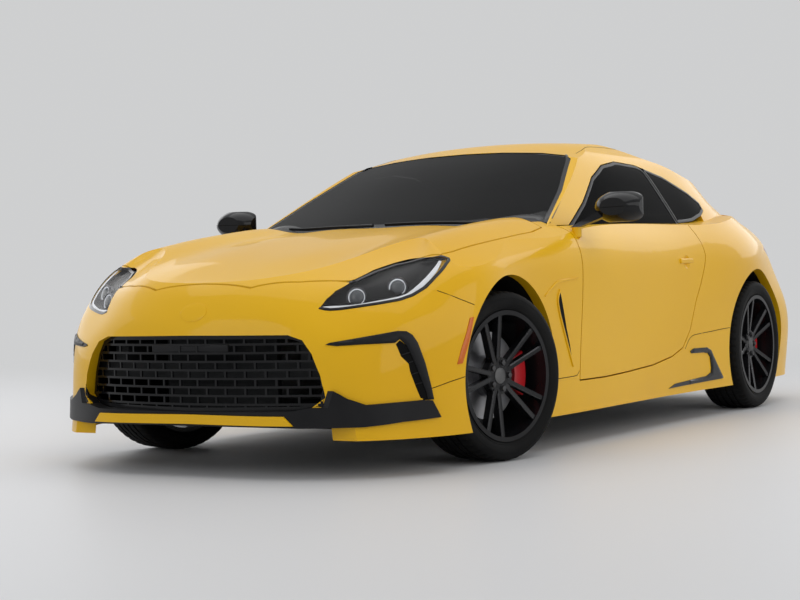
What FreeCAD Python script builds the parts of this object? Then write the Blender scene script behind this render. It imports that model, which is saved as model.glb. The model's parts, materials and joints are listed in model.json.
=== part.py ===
import FreeCAD, Part
import math
import os

# Coupe car: a two-door, front-engined car on four wheels.
# Row frame: +X forward, +Y to the car's left, +Z up, origin on the ground
# under the middle of the car. All lengths are millimetres.

V = FreeCAD.Vector
doc = FreeCAD.newDocument("coupe_car")

# Driving sizes, kept in one sheet
driving_sizes = [
    ("front_overhang", 855.0, "nose to front axle"),
    ("wheelbase", 2575.0, "front axle to rear axle"),
    ("rear_overhang", 845.0, "rear axle to tail"),
    ("body_width", 1775.0, "widest, at the rear haunches"),
    ("roof_height", 1310.0, "ground to roof"),
    ("underside_height", 132.0, "ground to the sill's lower edge"),
    ("front_track", 1520.0, "between the front tyres' middles"),
    ("rear_track", 1550.0, "between the rear tyres' middles"),
    ("tyre_radius", 314.5, "tread to wheel centre"),
    ("tyre_width", 215.0, "across the side walls"),
    ("rim_radius", 232.0, "bead seat"),
    ("rim_lip_radius", 242.0, "outer flange of the rim"),
    ("rim_width", 200.0, "flange to flange"),
    ("rim_wall", 7.0, "barrel thickness"),
    ("rim_gap", 0.3, "tyre bead to rim"),
    ("hub_radius", 68.0, "wheel centre boss"),
    ("hub_bore_radius", 28.0, "centre bore of the wheel"),
    ("spoke_width", 17.0, "one thin spoke"),
    ("spoke_depth", 30.0, "one thin spoke, along the axle"),
    ("disc_radius", 163.0, "brake disc"),
    ("disc_thickness", 26.0, "brake disc"),
    ("caliper_depth", 64.0, "radial"),
    ("arch_radius", 372.0, "wheel arch edge"),
    ("arch_depth", 420.0, "wheel housing, from the outside inwards"),
    ("kingpin_offset", 60.0, "kingpin inside the tyre's middle plane"),
    ("steer_rest_angle", 11.9, "front wheels as they stand, to the right"),
    ("panel_gap", 6.0, "round doors and lids"),
    ("fixed_gap", 0.3, "between fixed neighbours"),
    ("skin_depth", 42.0, "body wall, with its inner panel"),
    ("lid_depth", 30.0, "bonnet and boot lid"),
    ("glass_thickness", 6.0, "windows"),
    ("glass_recess", 2.5, "glass below the metal"),
    ("floor_thickness", 32.0, "floor pan"),
    ("floor_height", 140.0, "underside of the floor pan"),
    ("wall_thickness", 24.0, "firewall and rear wall"),
    ("glass_gap", 10.0, "door window to the fixed window behind it"),
    ("door_setback", 26.0, "door's inner box behind its shut line"),
    ("door_hinge_back", 627.5, "door hinge behind the front axle"),
    ("door_hinge_inset", 39.5, "door hinge inside the widest point"),
    ("striker_length", 80.0, "door striker ahead of its post"),
    ("striker_width", 36.0, "door striker, across the car"),
    ("striker_height", 20.0, "door striker"),
    ("post_ahead", 602.5, "door post ahead of the rear axle"),
    ("post_thickness", 20.0, "door post"),
    ("mirror_back", 687.5, "mirror pivot behind the front axle"),
    ("mirror_inset", 81.5, "mirror pivot inside the widest point"),
    ("mirror_foot_size", 40.0, "foot on the door"),
    ("mirror_foot_top", 872.0, "ground to the foot's top"),
    ("mirror_reach", 56.0, "pivot to the housing"),
    ("mirror_setback", 12.0, "housing's front behind the pivot"),
    ("mirror_width", 195.0, "housing, across the car"),
    ("mirror_depth", 105.0, "housing, along the car"),
    ("mirror_height", 121.0, "housing"),
    ("mirror_bottom", 889.0, "ground to the housing"),
    ("mirror_round", 28.0, "housing edges"),
    ("handle_back", 1735.5, "door handle's middle behind the front axle"),
    ("handle_level", 730.0, "ground to the door handle"),
    ("handle_length", 150.0, "door handle"),
    ("handle_height", 24.0, "door handle"),
    ("handle_depth", 20.0, "door handle"),
    ("handle_inset", 31.5, "door handle's face inside the widest point"),
    ("handle_round", 7.0, "door handle's edges"),
    ("handle_dish_radius", 60.0, "hollow behind the door handle"),
    ("handle_dish_depth", 15.0, "hollow behind the door handle"),
    ("splitter_reach", 9.0, "splitter outside the bumper"),
    ("strip_thickness", 8.0, "strip under the grille"),
    ("nose_tray_lift", 50.0, "nose's floor above the floor pan"),
    ("nose_tray_back", 437.5, "step up to the nose's floor, behind the nose"),
    ("joint_overlap", 6.0, "how far joined pieces run into each other"),
    ("lamp_depth", 90.0, "headlamp"),
    ("grille_radius", 1413.0, "bow of the grille in plan"),
    ("grille_thickness", 8.0, "grille"),
    ("grille_setback", 33.5, "grille behind the nose"),
    ("cell_width", 70.0, "grille opening"),
    ("cell_height", 22.0, "grille opening"),
    ("cell_bar", 8.0, "between grille openings"),
    ("grille_border", 14.0, "round the grille openings"),
    ("firewall_back", 558.5, "firewall behind the front axle"),
    ("bulkhead_ahead", 142.5, "rear bulkhead ahead of the rear axle"),
    ("shelf_level", 800.0, "ground to the parcel shelf"),
    ("shelf_thickness", 15.0, "parcel shelf"),
    ("beam_setback", 167.5, "bumper beam behind the nose"),
    ("beam_depth", 40.0, "bumper beam"),
    ("beam_level", 340.0, "ground to the bumper beam"),
    ("beam_height", 60.0, "bumper beam"),
    ("rail_inner", 390.0, "middle of the car to a front rail"),
    ("rail_width", 60.0, "front rail"),
    ("rail_height", 70.0, "front rail"),
    ("support_setback", 247.5, "latch panel behind the nose"),
    ("rear_panel_ahead", 97.5, "rear panel ahead of the tail"),
    ("liner_thickness", 6.0, "wheel liners"),
    ("liner_wall_low", 480.0, "ground to the liner's inner wall"),
    ("steering_wheel_radius", 182.0, "steering wheel"),
    ("steering_rim_radius", 15.0, "its grip"),
    ("steering_hub_length", 50.0, "its boss"),
    ("column_radius", 34.0, "steering column cover"),
    ("column_length", 260.0, "steering column cover"),
    ("exhaust_tip_radius", 42.0, "exhaust tip"),
    ("exhaust_hole_gap", 8.0, "round an exhaust tip"),
    ("silencer_radius", 75.0, "silencer"),
    ("silencer_ahead", 237.5, "silencer ahead of the tail"),
    ("silencer_past", 26.0, "silencer past the tips, each side"),
    ("tip_ahead", 22.5, "exhaust tips ahead of the tail"),
    ("tip_wall", 3.0, "exhaust tip"),
    ("tip_bore_depth", 140.0, "open length of a tip"),
    ("rim_lip", 3.5, "rim flange"),
    ("bead_gap", 0.5, "tyre to rim flange"),
    ("hub_offset", 30.0, "wheel's mounting face outside its middle"),
    ("hub_thickness", 32.0, "wheel centre"),
    ("hat_radius", 80.0, "brake disc's bell"),
    ("hat_wall", 8.0, "brake disc's bell"),
    ("disc_face", 0.0, "brake disc's outer face from the wheel's middle"),
    ("pad_gap", 6.0, "caliper to disc"),
    ("caliper_wall", 22.0, "caliper beside and over the disc"),
    ("kingpin_radius", 24.0, "carrier at its swivels"),
    ("kingpin_below", 110.0, "lower swivel below the wheel's middle"),
    ("kingpin_above", 130.0, "upper swivel above the wheel's middle"),
    ("housing_radius", 48.0, "wheel bearing housing"),
    ("housing_length", 56.0, "wheel bearing housing"),
    ("bracket_thickness", 12.0, "caliper bracket"),
    ("arm_thickness", 20.0, "suspension arm"),
    ("subframe_half", 360.0, "half the subframe's width"),
    ("subframe_depth", 165.0, "subframe along the car"),
    ("subframe_height", 58.0, "subframe"),
    ("damper_radius", 28.0, "damper"),
    ("damper_inset", 140.0, "damper inside the swivels"),
    ("half_shaft_radius", 14.0, "rear half shaft"),
    ("final_drive_half", 120.0, "half the final drive's width"),
    ("engine_clearance", 176.0, "firewall to engine"),
    ("engine_length", 560.0, "along the car"),
    ("engine_width", 620.0, "across the car"),
    ("engine_height", 400.0, "sump to intake"),
    ("overrun", 60.0, "how far a cutter reaches past what it cuts"),
]
sheet = doc.addObject("Spreadsheet::Sheet", "sizes")
for row_number, (alias, value, meaning) in enumerate(driving_sizes, start=1):
    sheet.set("A%d" % row_number, alias)
    sheet.set("B%d" % row_number, str(value))
    sheet.set("C%d" % row_number, meaning)
    sheet.setAlias("B%d" % row_number, alias)
doc.recompute()


def size(alias):
    return float(getattr(sheet, alias))


front_overhang = size("front_overhang")
wheelbase = size("wheelbase")
rear_overhang = size("rear_overhang")
half_width = size("body_width") / 2
height = size("roof_height")
underside = size("underside_height")
tyre_radius = size("tyre_radius")
panel_gap = size("panel_gap")
fixed_gap = size("fixed_gap")
overrun = size("overrun")

car_length = front_overhang + wheelbase + rear_overhang
nose_x = car_length / 2
front_axle_x = nose_x - front_overhang
rear_axle_x = front_axle_x - wheelbase
tail_x = -car_length / 2


def along(station):
    """x of a station: 0 nose, 1 front axle, 2 rear axle, 3 tail."""
    if station <= 1:
        return nose_x - front_overhang * station
    if station <= 2:
        return front_axle_x - wheelbase * (station - 1)
    return rear_axle_x - rear_overhang * (station - 2)


def across(share):
    return half_width * share


def up(share):
    return height * share


def point(station, half_share, level_share):
    return V(along(station), across(half_share), up(level_share))


# Master surfaces

def curve_through(points, marks):
    curve = Part.BSplineCurve()
    curve.interpolate(Points=points, Parameters=marks)
    return curve


def chord_marks(rows):
    """Knots spaced by the mean distance between neighbouring points of all rows."""
    marks = [0.0]
    for step in range(len(rows[0]) - 1):
        total = sum((row[step + 1] - row[step]).Length for row in rows)
        marks.append(marks[-1] + total / len(rows))
    return [mark / marks[-1] for mark in marks]


def spline_surface(rows, lap=0):
    """Cubic surface through a grid of points; lap is how many points a closed grid repeats."""
    along_marks = chord_marks(rows)
    columns = [list(column) for column in zip(*rows)]
    up_marks = chord_marks(columns)
    row_curves = [curve_through(row, along_marks) for row in rows]
    pole_columns = zip(*[curve.getPoles() for curve in row_curves])
    column_curves = [curve_through(list(column), up_marks) for column in pole_columns]
    surface = Part.BSplineSurface()
    surface.buildFromPolesMultsKnots(
        [curve.getPoles() for curve in column_curves],
        row_curves[0].getMultiplicities(), column_curves[0].getMultiplicities(),
        row_curves[0].getKnots(), column_curves[0].getKnots(),
        False, False, row_curves[0].Degree, column_curves[0].Degree)
    if lap:
        surface.segment(along_marks[lap], along_marks[-1 - lap], up_marks[0], up_marks[-1])
    return surface


# Plan rings of the lower body, from the sill's edge up to the crest.
# Each row: (station, half-width share) pairs from the nose's middle to the tail's middle,
# with a height share each.
ring_shares = [
    # under edge
    [(0.020, 0.000, 0.150), (0.050, 0.480, 0.150), (0.135, 0.690, 0.150), (0.300, 0.862, 0.145),
     (0.500, 0.948, 0.140), (1.000, 0.955, 0.130), (1.194, 0.952, 0.100), (1.466, 0.950, 0.100),
     (1.738, 0.955, 0.100), (2.000, 0.975, 0.130), (2.444, 0.950, 0.145), (2.763, 0.860, 0.155),
     (2.900, 0.500, 0.155), (2.925, 0.000, 0.155)],
    # bumper
    [(0.018, 0.000, 0.252), (0.057, 0.479, 0.252), (0.140, 0.668, 0.252), (0.310, 0.848, 0.245),
     (0.532, 0.968, 0.245), (1.000, 0.978, 0.245), (1.194, 0.956, 0.229), (1.466, 0.941, 0.229),
     (1.738, 0.957, 0.229), (2.000, 0.993, 0.245), (2.444, 0.975, 0.252), (2.805, 0.872, 0.252),
     (2.955, 0.505, 0.252), (2.975, 0.000, 0.252)],
    # widest
    [(0.020, 0.000, 0.378), (0.081, 0.456, 0.379), (0.149, 0.631, 0.366), (0.339, 0.847, 0.383),
     (0.546, 0.968, 0.385), (1.000, 0.983, 0.397), (1.194, 0.960, 0.366), (1.466, 0.945, 0.366),
     (1.738, 0.966, 0.366), (2.000, 1.000, 0.397), (2.444, 0.972, 0.397), (2.822, 0.850, 0.397),
     (2.980, 0.496, 0.397), (3.000, 0.000, 0.397)],
    # lamp
    [(0.055, 0.000, 0.439), (0.120, 0.445, 0.439), (0.214, 0.603, 0.443), (0.380, 0.828, 0.450),
     (0.579, 0.958, 0.458), (1.000, 0.976, 0.504), (1.194, 0.963, 0.496), (1.466, 0.955, 0.496),
     (1.738, 0.971, 0.504), (2.000, 0.997, 0.519), (2.444, 0.920, 0.519), (2.785, 0.800, 0.519),
     (2.959, 0.496, 0.519), (2.976, 0.000, 0.519)],
    # shoulder
    [(0.105, 0.000, 0.492), (0.181, 0.434, 0.492), (0.281, 0.597, 0.492), (0.450, 0.806, 0.508),
     (0.614, 0.918, 0.534), (1.000, 0.941, 0.576), (1.194, 0.944, 0.595), (1.466, 0.943, 0.603),
     (1.738, 0.952, 0.611), (2.000, 0.963, 0.626), (2.444, 0.862, 0.626), (2.765, 0.745, 0.626),
     (2.929, 0.485, 0.634), (2.953, 0.000, 0.641)],
    # crest
    [(0.156, 0.000, 0.524), (0.242, 0.417, 0.527), (0.363, 0.592, 0.524), (0.530, 0.780, 0.545),
     (0.649, 0.845, 0.580), (1.000, 0.845, 0.622), (1.194, 0.868, 0.660), (1.466, 0.882, 0.672),
     (1.738, 0.879, 0.691), (2.000, 0.879, 0.702), (2.444, 0.790, 0.680), (2.728, 0.680, 0.692),
     (2.888, 0.455, 0.732), (2.911, 0.000, 0.760)],
]
lean_rise_share = 0.12
lean_length_share = 0.94
lean_width_share = 0.80


def inset_point(place, inset):
    middle_x = (nose_x + tail_x) / 2
    shrink_x = 1 - inset / (car_length / 2)
    shrink_y = 1 - inset / half_width
    return V(middle_x + (place.x - middle_x) * shrink_x, place.y * shrink_y, place.z)


ring_lap = 3


def closed_ring(half):
    """Once round the car from the nose's middle, with a few points repeated past both ends."""
    right = [V(place.x, -place.y, place.z) for place in half[1:-1]]
    full = half + right[::-1]
    return full[-ring_lap:] + full + full[:ring_lap + 1]


def ring_wall(inset):
    """The lower body's sides as one closed wall that runs past the top and the underside."""
    halves = [[inset_point(point(*share), inset) for share in row] for row in ring_shares]
    halves.append([V(tail_x + (crest.x - tail_x) * lean_length_share, crest.y * lean_width_share,
                     crest.z + up(lean_rise_share)) for crest in halves[-1]])
    halves[0] = [V(place.x, place.y, underside - overrun) for place in halves[0]]
    return spline_surface([closed_ring(half) for half in halves], ring_lap).toShape()


# Height of the bonnet, belt and deck: stations along, half-width shares across
top_station_shares = [-0.10, 0.156, 0.415, 0.708, 1.000, 1.097, 1.190, 1.350, 1.620, 1.880, 2.361,
                      2.620, 2.911, 3.15]
top_middle_shares = [0.490, 0.524, 0.573, 0.615, 0.646, 0.669, 0.685, 0.688, 0.700, 0.716, 0.748,
                     0.746, 0.764, 0.775]
top_across_shares = [0.0, 0.30, 0.52, 0.72, 0.85, 0.96, 1.10]
# rise (+) or fall (-) of the surface from the car's middle, as shares of the height
bonnet_section_shares = [0.0, 0.0, -0.003, 0.012, -0.028, -0.075, -0.150]
nose_section_shares = [0.0, 0.0, 0.001, 0.002, 0.000, -0.020, -0.060]
belt_section_shares = [0.0, 0.0, 0.0, 0.0, -0.012, -0.030, -0.060]
deck_section_shares = [0.0, -0.003, -0.016, -0.062, -0.095, -0.130, -0.180]
haunch_section_shares = [0.0, -0.001, -0.006, -0.026, -0.050, -0.085, -0.130]
section_of_station = [
    nose_section_shares, nose_section_shares, bonnet_section_shares, bonnet_section_shares,
    bonnet_section_shares, bonnet_section_shares, bonnet_section_shares, belt_section_shares,
    belt_section_shares, belt_section_shares, haunch_section_shares, deck_section_shares,
    deck_section_shares, deck_section_shares]


def under_top(drop):
    """Everything below the bonnet, belt and deck surface lowered by drop."""
    rows = []
    for station, middle, section in zip(top_station_shares, top_middle_shares, section_of_station):
        left = [V(along(station), across(share), up(middle + rise) - drop)
                for share, rise in zip(top_across_shares, section)]
        right = [V(place.x, -place.y, place.z) for place in left[:0:-1]]
        rows.append(right + left)
    return spline_surface(rows).toShape().extrude(V(0, 0, -height))


def block(low, high):
    return Part.makeBox(high.x - low.x, high.y - low.y, high.z - low.z, low)


def lower_body(inset, drop):
    """Solid of the body below the windows, within the ring wall and the top surface."""
    room = block(V(tail_x - overrun, -half_width - overrun, underside),
                 V(nose_x + overrun, half_width + overrun, height))
    blank = under_top(drop).common(room)
    pieces, _ = blank.generalFuse([ring_wall(inset)])
    middle = V(0, 0, (underside + height) / 2)
    return next(piece for piece in pieces.Solids if piece.isInside(middle, fixed_gap, True))


# Windows and roof: four smooth surfaces that meet at the pillars and the rails
roof_stations = [0.95, 1.20, 1.35, 1.478, 1.563, 1.660, 1.750, 1.835, 1.900, 2.050, 2.361, 2.560, 2.75]
roof_middle_shares = [0.80, 0.87, 0.915, 0.949, 0.984, 0.996, 0.994, 0.974, 0.949, 0.896, 0.771, 0.690, 0.600]
roof_across_shares = [0.0, 0.28, 0.50, 0.66, 0.85]
roof_fall_shares = [0.0, 0.006, 0.020, 0.036, 0.062]
roof_tail_fall_shares = [0.0, 0.010, 0.036, 0.066, 0.110]
roof_tail_start = 1.75
side_stations = [0.90, 1.16, 1.31, 1.54, 1.78, 1.97, 2.20, 2.50]
side_level_shares = [0.60, 0.65, 0.725, 0.80, 0.878, 0.918, 0.954, 1.02]
side_half_shares = [
    [0.838, 0.850, 0.868, 0.886, 0.890, 0.880, 0.850, 0.780],
    [0.815, 0.827, 0.846, 0.866, 0.868, 0.850, 0.805, 0.720],
    [0.760, 0.772, 0.796, 0.818, 0.818, 0.795, 0.730, 0.640],
    [0.700, 0.712, 0.738, 0.762, 0.758, 0.715, 0.620, 0.520],
    [0.630, 0.642, 0.668, 0.694, 0.688, 0.630, 0.520, 0.400],
    [0.580, 0.592, 0.618, 0.645, 0.638, 0.575, 0.455, 0.330],
    [0.500, 0.512, 0.538, 0.570, 0.560, 0.490, 0.370, 0.240],
    [0.330, 0.342, 0.368, 0.400, 0.390, 0.320, 0.200, 0.080],
]
screen_level_shares = [0.600, 0.685, 0.780, 0.870, 0.950, 1.040]
screen_stations = [1.105, 1.190, 1.292, 1.388, 1.478, 1.590]
screen_across_shares = [0.0, 0.30, 0.55, 0.78, 1.00]
screen_sweep_shares = [0.0, 0.006, 0.022, 0.043, 0.075]
screen_normal_share = 2.3


def roof_slab(inset):
    rows = []
    for station, middle in zip(roof_stations, roof_middle_shares):
        falls = roof_fall_shares if station < roof_tail_start else roof_tail_fall_shares
        left = [V(along(station), across(share), up(middle - fall) - inset)
                for share, fall in zip(roof_across_shares, falls)]
        right = [V(place.x, -place.y, place.z) for place in left[:0:-1]]
        rows.append(right + left)
    return spline_surface(rows).toShape().extrude(V(0, 0, -height))


def side_slab(inset):
    rows = [[V(along(station), across(share) - inset, up(level))
             for station, share in zip(side_stations, shares)]
            for level, shares in zip(side_level_shares, side_half_shares)]
    return spline_surface(rows).toShape().extrude(V(0, -2 * half_width, 0))


def screen_slab(inset):
    back = screen_normal_share * inset
    rows = []
    for level, station in zip(screen_level_shares, screen_stations):
        left = [V(along(station + sweep) - back, across(share), up(level))
                for share, sweep in zip(screen_across_shares, screen_sweep_shares)]
        right = [V(place.x, -place.y, place.z) for place in left[:0:-1]]
        rows.append(right + left)
    return spline_surface(rows).toShape().extrude(V(-car_length, 0, 0))


def mirrored(shape):
    return shape.mirror(V(0, 0, 0), V(0, 1, 0))


def upper_body(inset):
    """Solid of the roof, pillars and windows, inset from its outside."""
    left = side_slab(inset)
    solid = roof_slab(inset).common(left).common(mirrored(left)).common(screen_slab(inset))
    return solid


# Cutters

def outline_face(corners, curved=False):
    if curved:
        curve = Part.BSplineCurve()
        curve.interpolate(Points=corners, PeriodicFlag=True)
        return Part.Face(Part.Wire([curve.toShape()]))
    return Part.Face(Part.makePolygon(corners + corners[:1]))


def grown(face, growth):
    return face.makeOffset2D(growth) if growth else face


def side_prism(outline, growth=0.0, low_share=0.0, curved=False):
    """Cutter across the car: outline of (station, height share), from one half-width share outwards."""
    corners = [point(station, low_share, level) for station, level in outline]
    reach = half_width + overrun - across(low_share)
    return grown(outline_face(corners, curved), growth).extrude(V(0, reach, 0))


whole_width_share = -1.0


def full_side_prism(outline, growth=0.0):
    half = side_prism(outline, growth, whole_width_share)
    half.translate(V(0, -overrun, 0))
    return half.fuse(side_prism(outline, growth))


def plan_prism(outline, low_level, high_level, growth=0.0, curved=False):
    """Cutter upwards: outline of (station, half-width share), mirrored about the middle."""
    left = [point(station, share, low_level) for station, share in outline]
    right = [V(place.x, -place.y, place.z) for place in left[::-1] if place.y > fixed_gap]
    return grown(outline_face(left + right, curved), growth).extrude(V(0, 0, up(high_level - low_level)))


def front_prism(outline, near_station, far_station, growth=0.0, both=True):
    """Cutter along the car: outline of (half-width share, height share)."""
    left = [point(near_station, share, level) for share, level in outline]
    right = [V(place.x, -place.y, place.z) for place in left[::-1] if place.y > fixed_gap]
    corners = left + right if both else left
    return grown(outline_face(corners), growth).extrude(V(along(far_station) - along(near_station), 0, 0))


def slab(low, high):
    """Box between two (station, half-width share, height share) corners."""
    first = point(*low)
    last = point(*high)
    return block(V(min(first.x, last.x), min(first.y, last.y), first.z),
                 V(max(first.x, last.x), max(first.y, last.y), last.z))


def largest(shape):
    return max(shape.Solids, key=lambda solid: solid.Volume)


def pair(left):
    return Part.makeCompound([left, mirrored(left)])


def round_bar(centre, radius, length, direction):
    return Part.makeCylinder(radius, length, centre, direction)


bonnet_shares = [
    (0.152, 0.00), (0.146, 0.24), (0.229, 0.422), (0.354, 0.597), (0.463, 0.632), (0.547, 0.676),
    (0.608, 0.745), (0.650, 0.832), (0.730, 0.842), (0.924, 0.846), (1.060, 0.850), (1.150, 0.848),
    (1.196, 0.828), (1.194, 0.600), (1.186, 0.300), (1.184, 0.00)]
lamp_shares = [
    (0.181, 0.447), (0.220, 0.472), (0.262, 0.492), (0.354, 0.520), (0.463, 0.546), (0.547, 0.563),
    (0.608, 0.575), (0.646, 0.581), (0.661, 0.573), (0.618, 0.557), (0.535, 0.522), (0.474, 0.494),
    (0.417, 0.474), (0.371, 0.463), (0.315, 0.455), (0.255, 0.447), (0.210, 0.442)]
door_shares = [
    (1.254, 0.720), (1.254, 0.656), (1.2535, 0.632), (1.250, 0.607), (1.248, 0.570), (1.247, 0.518),
    (1.245, 0.441), (1.241, 0.350), (1.236, 0.259), (1.233, 0.200), (1.330, 0.199), (1.420, 0.204),
    (1.528, 0.214), (1.610, 0.234), (1.655, 0.260), (1.684, 0.317), (1.709, 0.420), (1.727, 0.472),
    (1.742, 0.524), (1.754, 0.574), (1.752, 0.620), (1.745, 0.675), (1.745, 0.720)]
window_shares = [
    (1.282, 0.664), (1.378, 0.752), (1.461, 0.842), (1.530, 0.889), (1.600, 0.908), (1.683, 0.902),
    (1.783, 0.866), (1.866, 0.812), (1.902, 0.776), (1.900, 0.745), (1.871, 0.725), (1.811, 0.703),
    (1.745, 0.694), (1.545, 0.684), (1.374, 0.673)]
pillar_split_shares = [(1.745, 0.640), (1.700, 0.960)]
screen_shares = [
    (0.000, 0.650), (0.600, 0.652), (0.815, 0.672), (0.735, 0.790), (0.625, 0.905), (0.580, 0.920),
    (0.430, 0.935), (0.220, 0.944), (0.000, 0.947)]
rear_window_shares = [(1.862, 0.00), (1.868, 0.40), (1.900, 0.52), (2.100, 0.56), (2.290, 0.58),
                       (2.330, 0.54), (2.352, 0.30), (2.356, 0.00)]
boot_shares = [(2.374, 0.00), (2.372, 0.30), (2.385, 0.56), (2.450, 0.62), (2.700, 0.60),
                (2.850, 0.55), (3.080, 0.52), (3.080, 0.00)]
tail_lamp_shares = [(2.480, 0.600), (2.640, 0.625), (2.860, 0.640), (3.080, 0.640), (3.080, 0.560),
                     (2.860, 0.555), (2.640, 0.560)]
grille_shares = [
    (0.000, 0.382), (0.455, 0.380), (0.515, 0.366), (0.556, 0.330), (0.590, 0.275), (0.608, 0.215),
    (0.560, 0.190), (0.480, 0.180), (0.000, 0.176)]

# Body panels
skin_depth = size("skin_depth")
lid_depth = size("lid_depth")
glass_recess = size("glass_recess")
outer = lower_body(0.0, 0.0)
inner = lower_body(skin_depth, lid_depth)
lining = lower_body(skin_depth + fixed_gap, lid_depth + fixed_gap)
shell = outer.cut(inner)
roof_outer = upper_body(0.0)
roof_inner = upper_body(skin_depth)
glass_outer = upper_body(glass_recess)
glass_inner = upper_body(glass_recess + size("glass_thickness"))
seam = fixed_gap / 2
lift = V(0, 0, fixed_gap)
outer_raised = outer.translated(lift)
inner_raised = inner.translated(lift)

arch_radius = size("arch_radius")
arch_inner_y = half_width - size("arch_depth")
bonnet_low_share = 0.45
bonnet_high_share = 0.80
boot_low_share = 0.545
boot_high_share = 0.85
door_inner_share = 0.80
door_cut_share = 0.60
lamp_inner_share = 0.30
past_share = 1.1
cabin_front_share = (1.275, 0.20)
cabin_back_share = (2.10, 0.90)
trunk_back_share = 2.352
trunk_half_share = 0.62


def arch_cutter(axle_x, radius, inner_y):
    """Both wheel housings of one axle."""
    left = round_bar(V(axle_x, inner_y, tyre_radius), radius, half_width + overrun - inner_y, V(0, 1, 0))
    return left.fuse(mirrored(left))


arches = arch_cutter(front_axle_x, arch_radius, arch_inner_y).fuse(
    arch_cutter(rear_axle_x, arch_radius, arch_inner_y))

bonnet_prism = plan_prism(bonnet_shares, bonnet_low_share, bonnet_high_share)
bonnet_cutter = plan_prism(bonnet_shares, bonnet_low_share, bonnet_high_share, panel_gap)
boot_prism = plan_prism(boot_shares, boot_low_share, boot_high_share)
boot_cutter = plan_prism(boot_shares, boot_low_share - panel_gap / height, boot_high_share, panel_gap)
door_cutter = side_prism(door_shares, panel_gap, door_cut_share)
lamp_cutter = side_prism(lamp_shares, fixed_gap, lamp_inner_share)
tail_lamp_cutter = side_prism(tail_lamp_shares, fixed_gap, lamp_inner_share)
lamp_cutters = lamp_cutter.fuse(mirrored(lamp_cutter))
tail_lamp_cutters = tail_lamp_cutter.fuse(mirrored(tail_lamp_cutter))
cabin_cutter = slab((cabin_front_share[0], -door_inner_share, cabin_front_share[1]),
                    (cabin_back_share[0], door_inner_share, cabin_back_share[1])).fuse(
    slab((cabin_back_share[0], -trunk_half_share, cabin_front_share[1]),
         (trunk_back_share, trunk_half_share, cabin_back_share[1])))

bonnet = largest(shell.common(bonnet_prism).cut(lamp_cutters))
boot_lid = largest(shell.common(boot_prism))
fixed_shell = shell.cut([
    bonnet_cutter, boot_cutter, cabin_cutter, door_cutter, mirrored(door_cutter), lamp_cutters,
    tail_lamp_cutters, arches])

# Seams between fixed panels, as (station, height share) outlines
front_bumper_shares = [
    (-0.08, 0.080), (-0.08, 0.600), (0.290, 0.600), (0.290, 0.520), (0.470, 0.494),
    (0.667, 0.437), (0.760, 0.400), (0.760, 0.080)]
fender_shares = [
    (0.290, 0.760), (0.290, 0.520), (0.470, 0.494), (0.667, 0.437), (0.760, 0.400),
    (0.900, 0.205), (1.260, 0.205), (1.260, 0.760)]
skirt_shares = [
    (0.900, 0.205), (0.900, 0.080), (2.100, 0.080), (2.100, 0.308), (1.866, 0.308),
    (1.700, 0.300), (1.640, 0.258), (1.560, 0.222), (1.400, 0.205)]
quarter_shares = [
    (1.560, 0.222), (1.640, 0.258), (1.700, 0.300), (1.866, 0.308), (2.150, 0.308),
    (2.150, 0.440), (2.260, 0.480), (2.480, 0.590), (2.640, 0.600), (3.100, 0.600),
    (3.100, 0.900), (1.264, 0.900), (1.264, 0.600), (1.400, 0.500)]
rear_bumper_shares = [
    (2.150, 0.080), (2.150, 0.440), (2.260, 0.480), (2.480, 0.590), (2.640, 0.600),
    (3.100, 0.600), (3.100, 0.080)]
splitter_shares = [
    (-0.08, 0.190), (0.100, 0.190), (0.111, 0.233), (0.138, 0.212), (0.181, 0.194), (0.256, 0.197),
    (0.371, 0.200), (0.400, 0.198), (0.435, 0.152), (0.285, 0.146), (0.171, 0.137), (0.054, 0.136),
    (0.030, 0.143), (-0.08, 0.143)]
bumper_corner_shares = [
    (0.160, 0.080), (0.160, 0.137), (0.285, 0.146), (0.435, 0.152), (0.400, 0.198), (0.402, 0.228),
    (0.549, 0.256), (0.760, 0.300), (0.760, 0.080)]
nose_room_shares = [
    (-0.20, 0.000), (-0.20, 0.143), (0.030, 0.143), (0.054, 0.136), (0.160, 0.136), (0.160, 0.000)]
strip_shares = [(0.000, 0.170), (0.460, 0.168), (0.497, 0.143), (0.000, 0.1445)]
cowl_half_share = 0.780
cowl_stations_shares = (1.150, 1.300)
cowl_levels_shares = (0.600, 0.800)
nose_past_share = -0.20
grille_back_share = 0.40

grille_cutter = front_prism(grille_shares, nose_past_share, grille_back_share)
front_part = fixed_shell.common(full_side_prism(front_bumper_shares, -seam)).cut(grille_cutter)
splitter_room = full_side_prism(splitter_shares, fixed_gap)
corner_room = side_prism(bumper_corner_shares, fixed_gap, lamp_inner_share)
front_bumper = largest(front_part.cut([
    splitter_room, corner_room, mirrored(corner_room), full_side_prism(nose_room_shares)]))
bumper_corner = largest(front_part.common(
    side_prism(bumper_corner_shares, 0.0, lamp_inner_share)).cut(splitter_room))

# The splitter stands a little proud of the bumper, and the strip under the grille reaches the nose
splitter_reach = size("splitter_reach")
strip_reach = splitter_reach + fixed_gap + size("strip_thickness")
splitter_outer = lower_body(-splitter_reach, 0.0)
front_splitter = largest(splitter_outer.cut([inner, grille_cutter]).common(full_side_prism(splitter_shares)))
strip_room = block(V(front_axle_x, -half_width, 0), V(nose_x, half_width, height))
lip_strip = largest(lower_body(-strip_reach, 0.0).cut(lower_body(-splitter_reach - fixed_gap, 0.0)).common(
    front_prism(strip_shares, nose_past_share, grille_back_share)).common(strip_room))
cowl_box = slab((cowl_stations_shares[0], -cowl_half_share, cowl_levels_shares[0]),
                (cowl_stations_shares[1], cowl_half_share, cowl_levels_shares[1]))
cowl = largest(fixed_shell.common(cowl_box))
cowl_room = cowl_box.fuse([cowl_box.translated(V(0, fixed_gap, 0)), cowl_box.translated(V(0, -fixed_gap, 0))])
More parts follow.
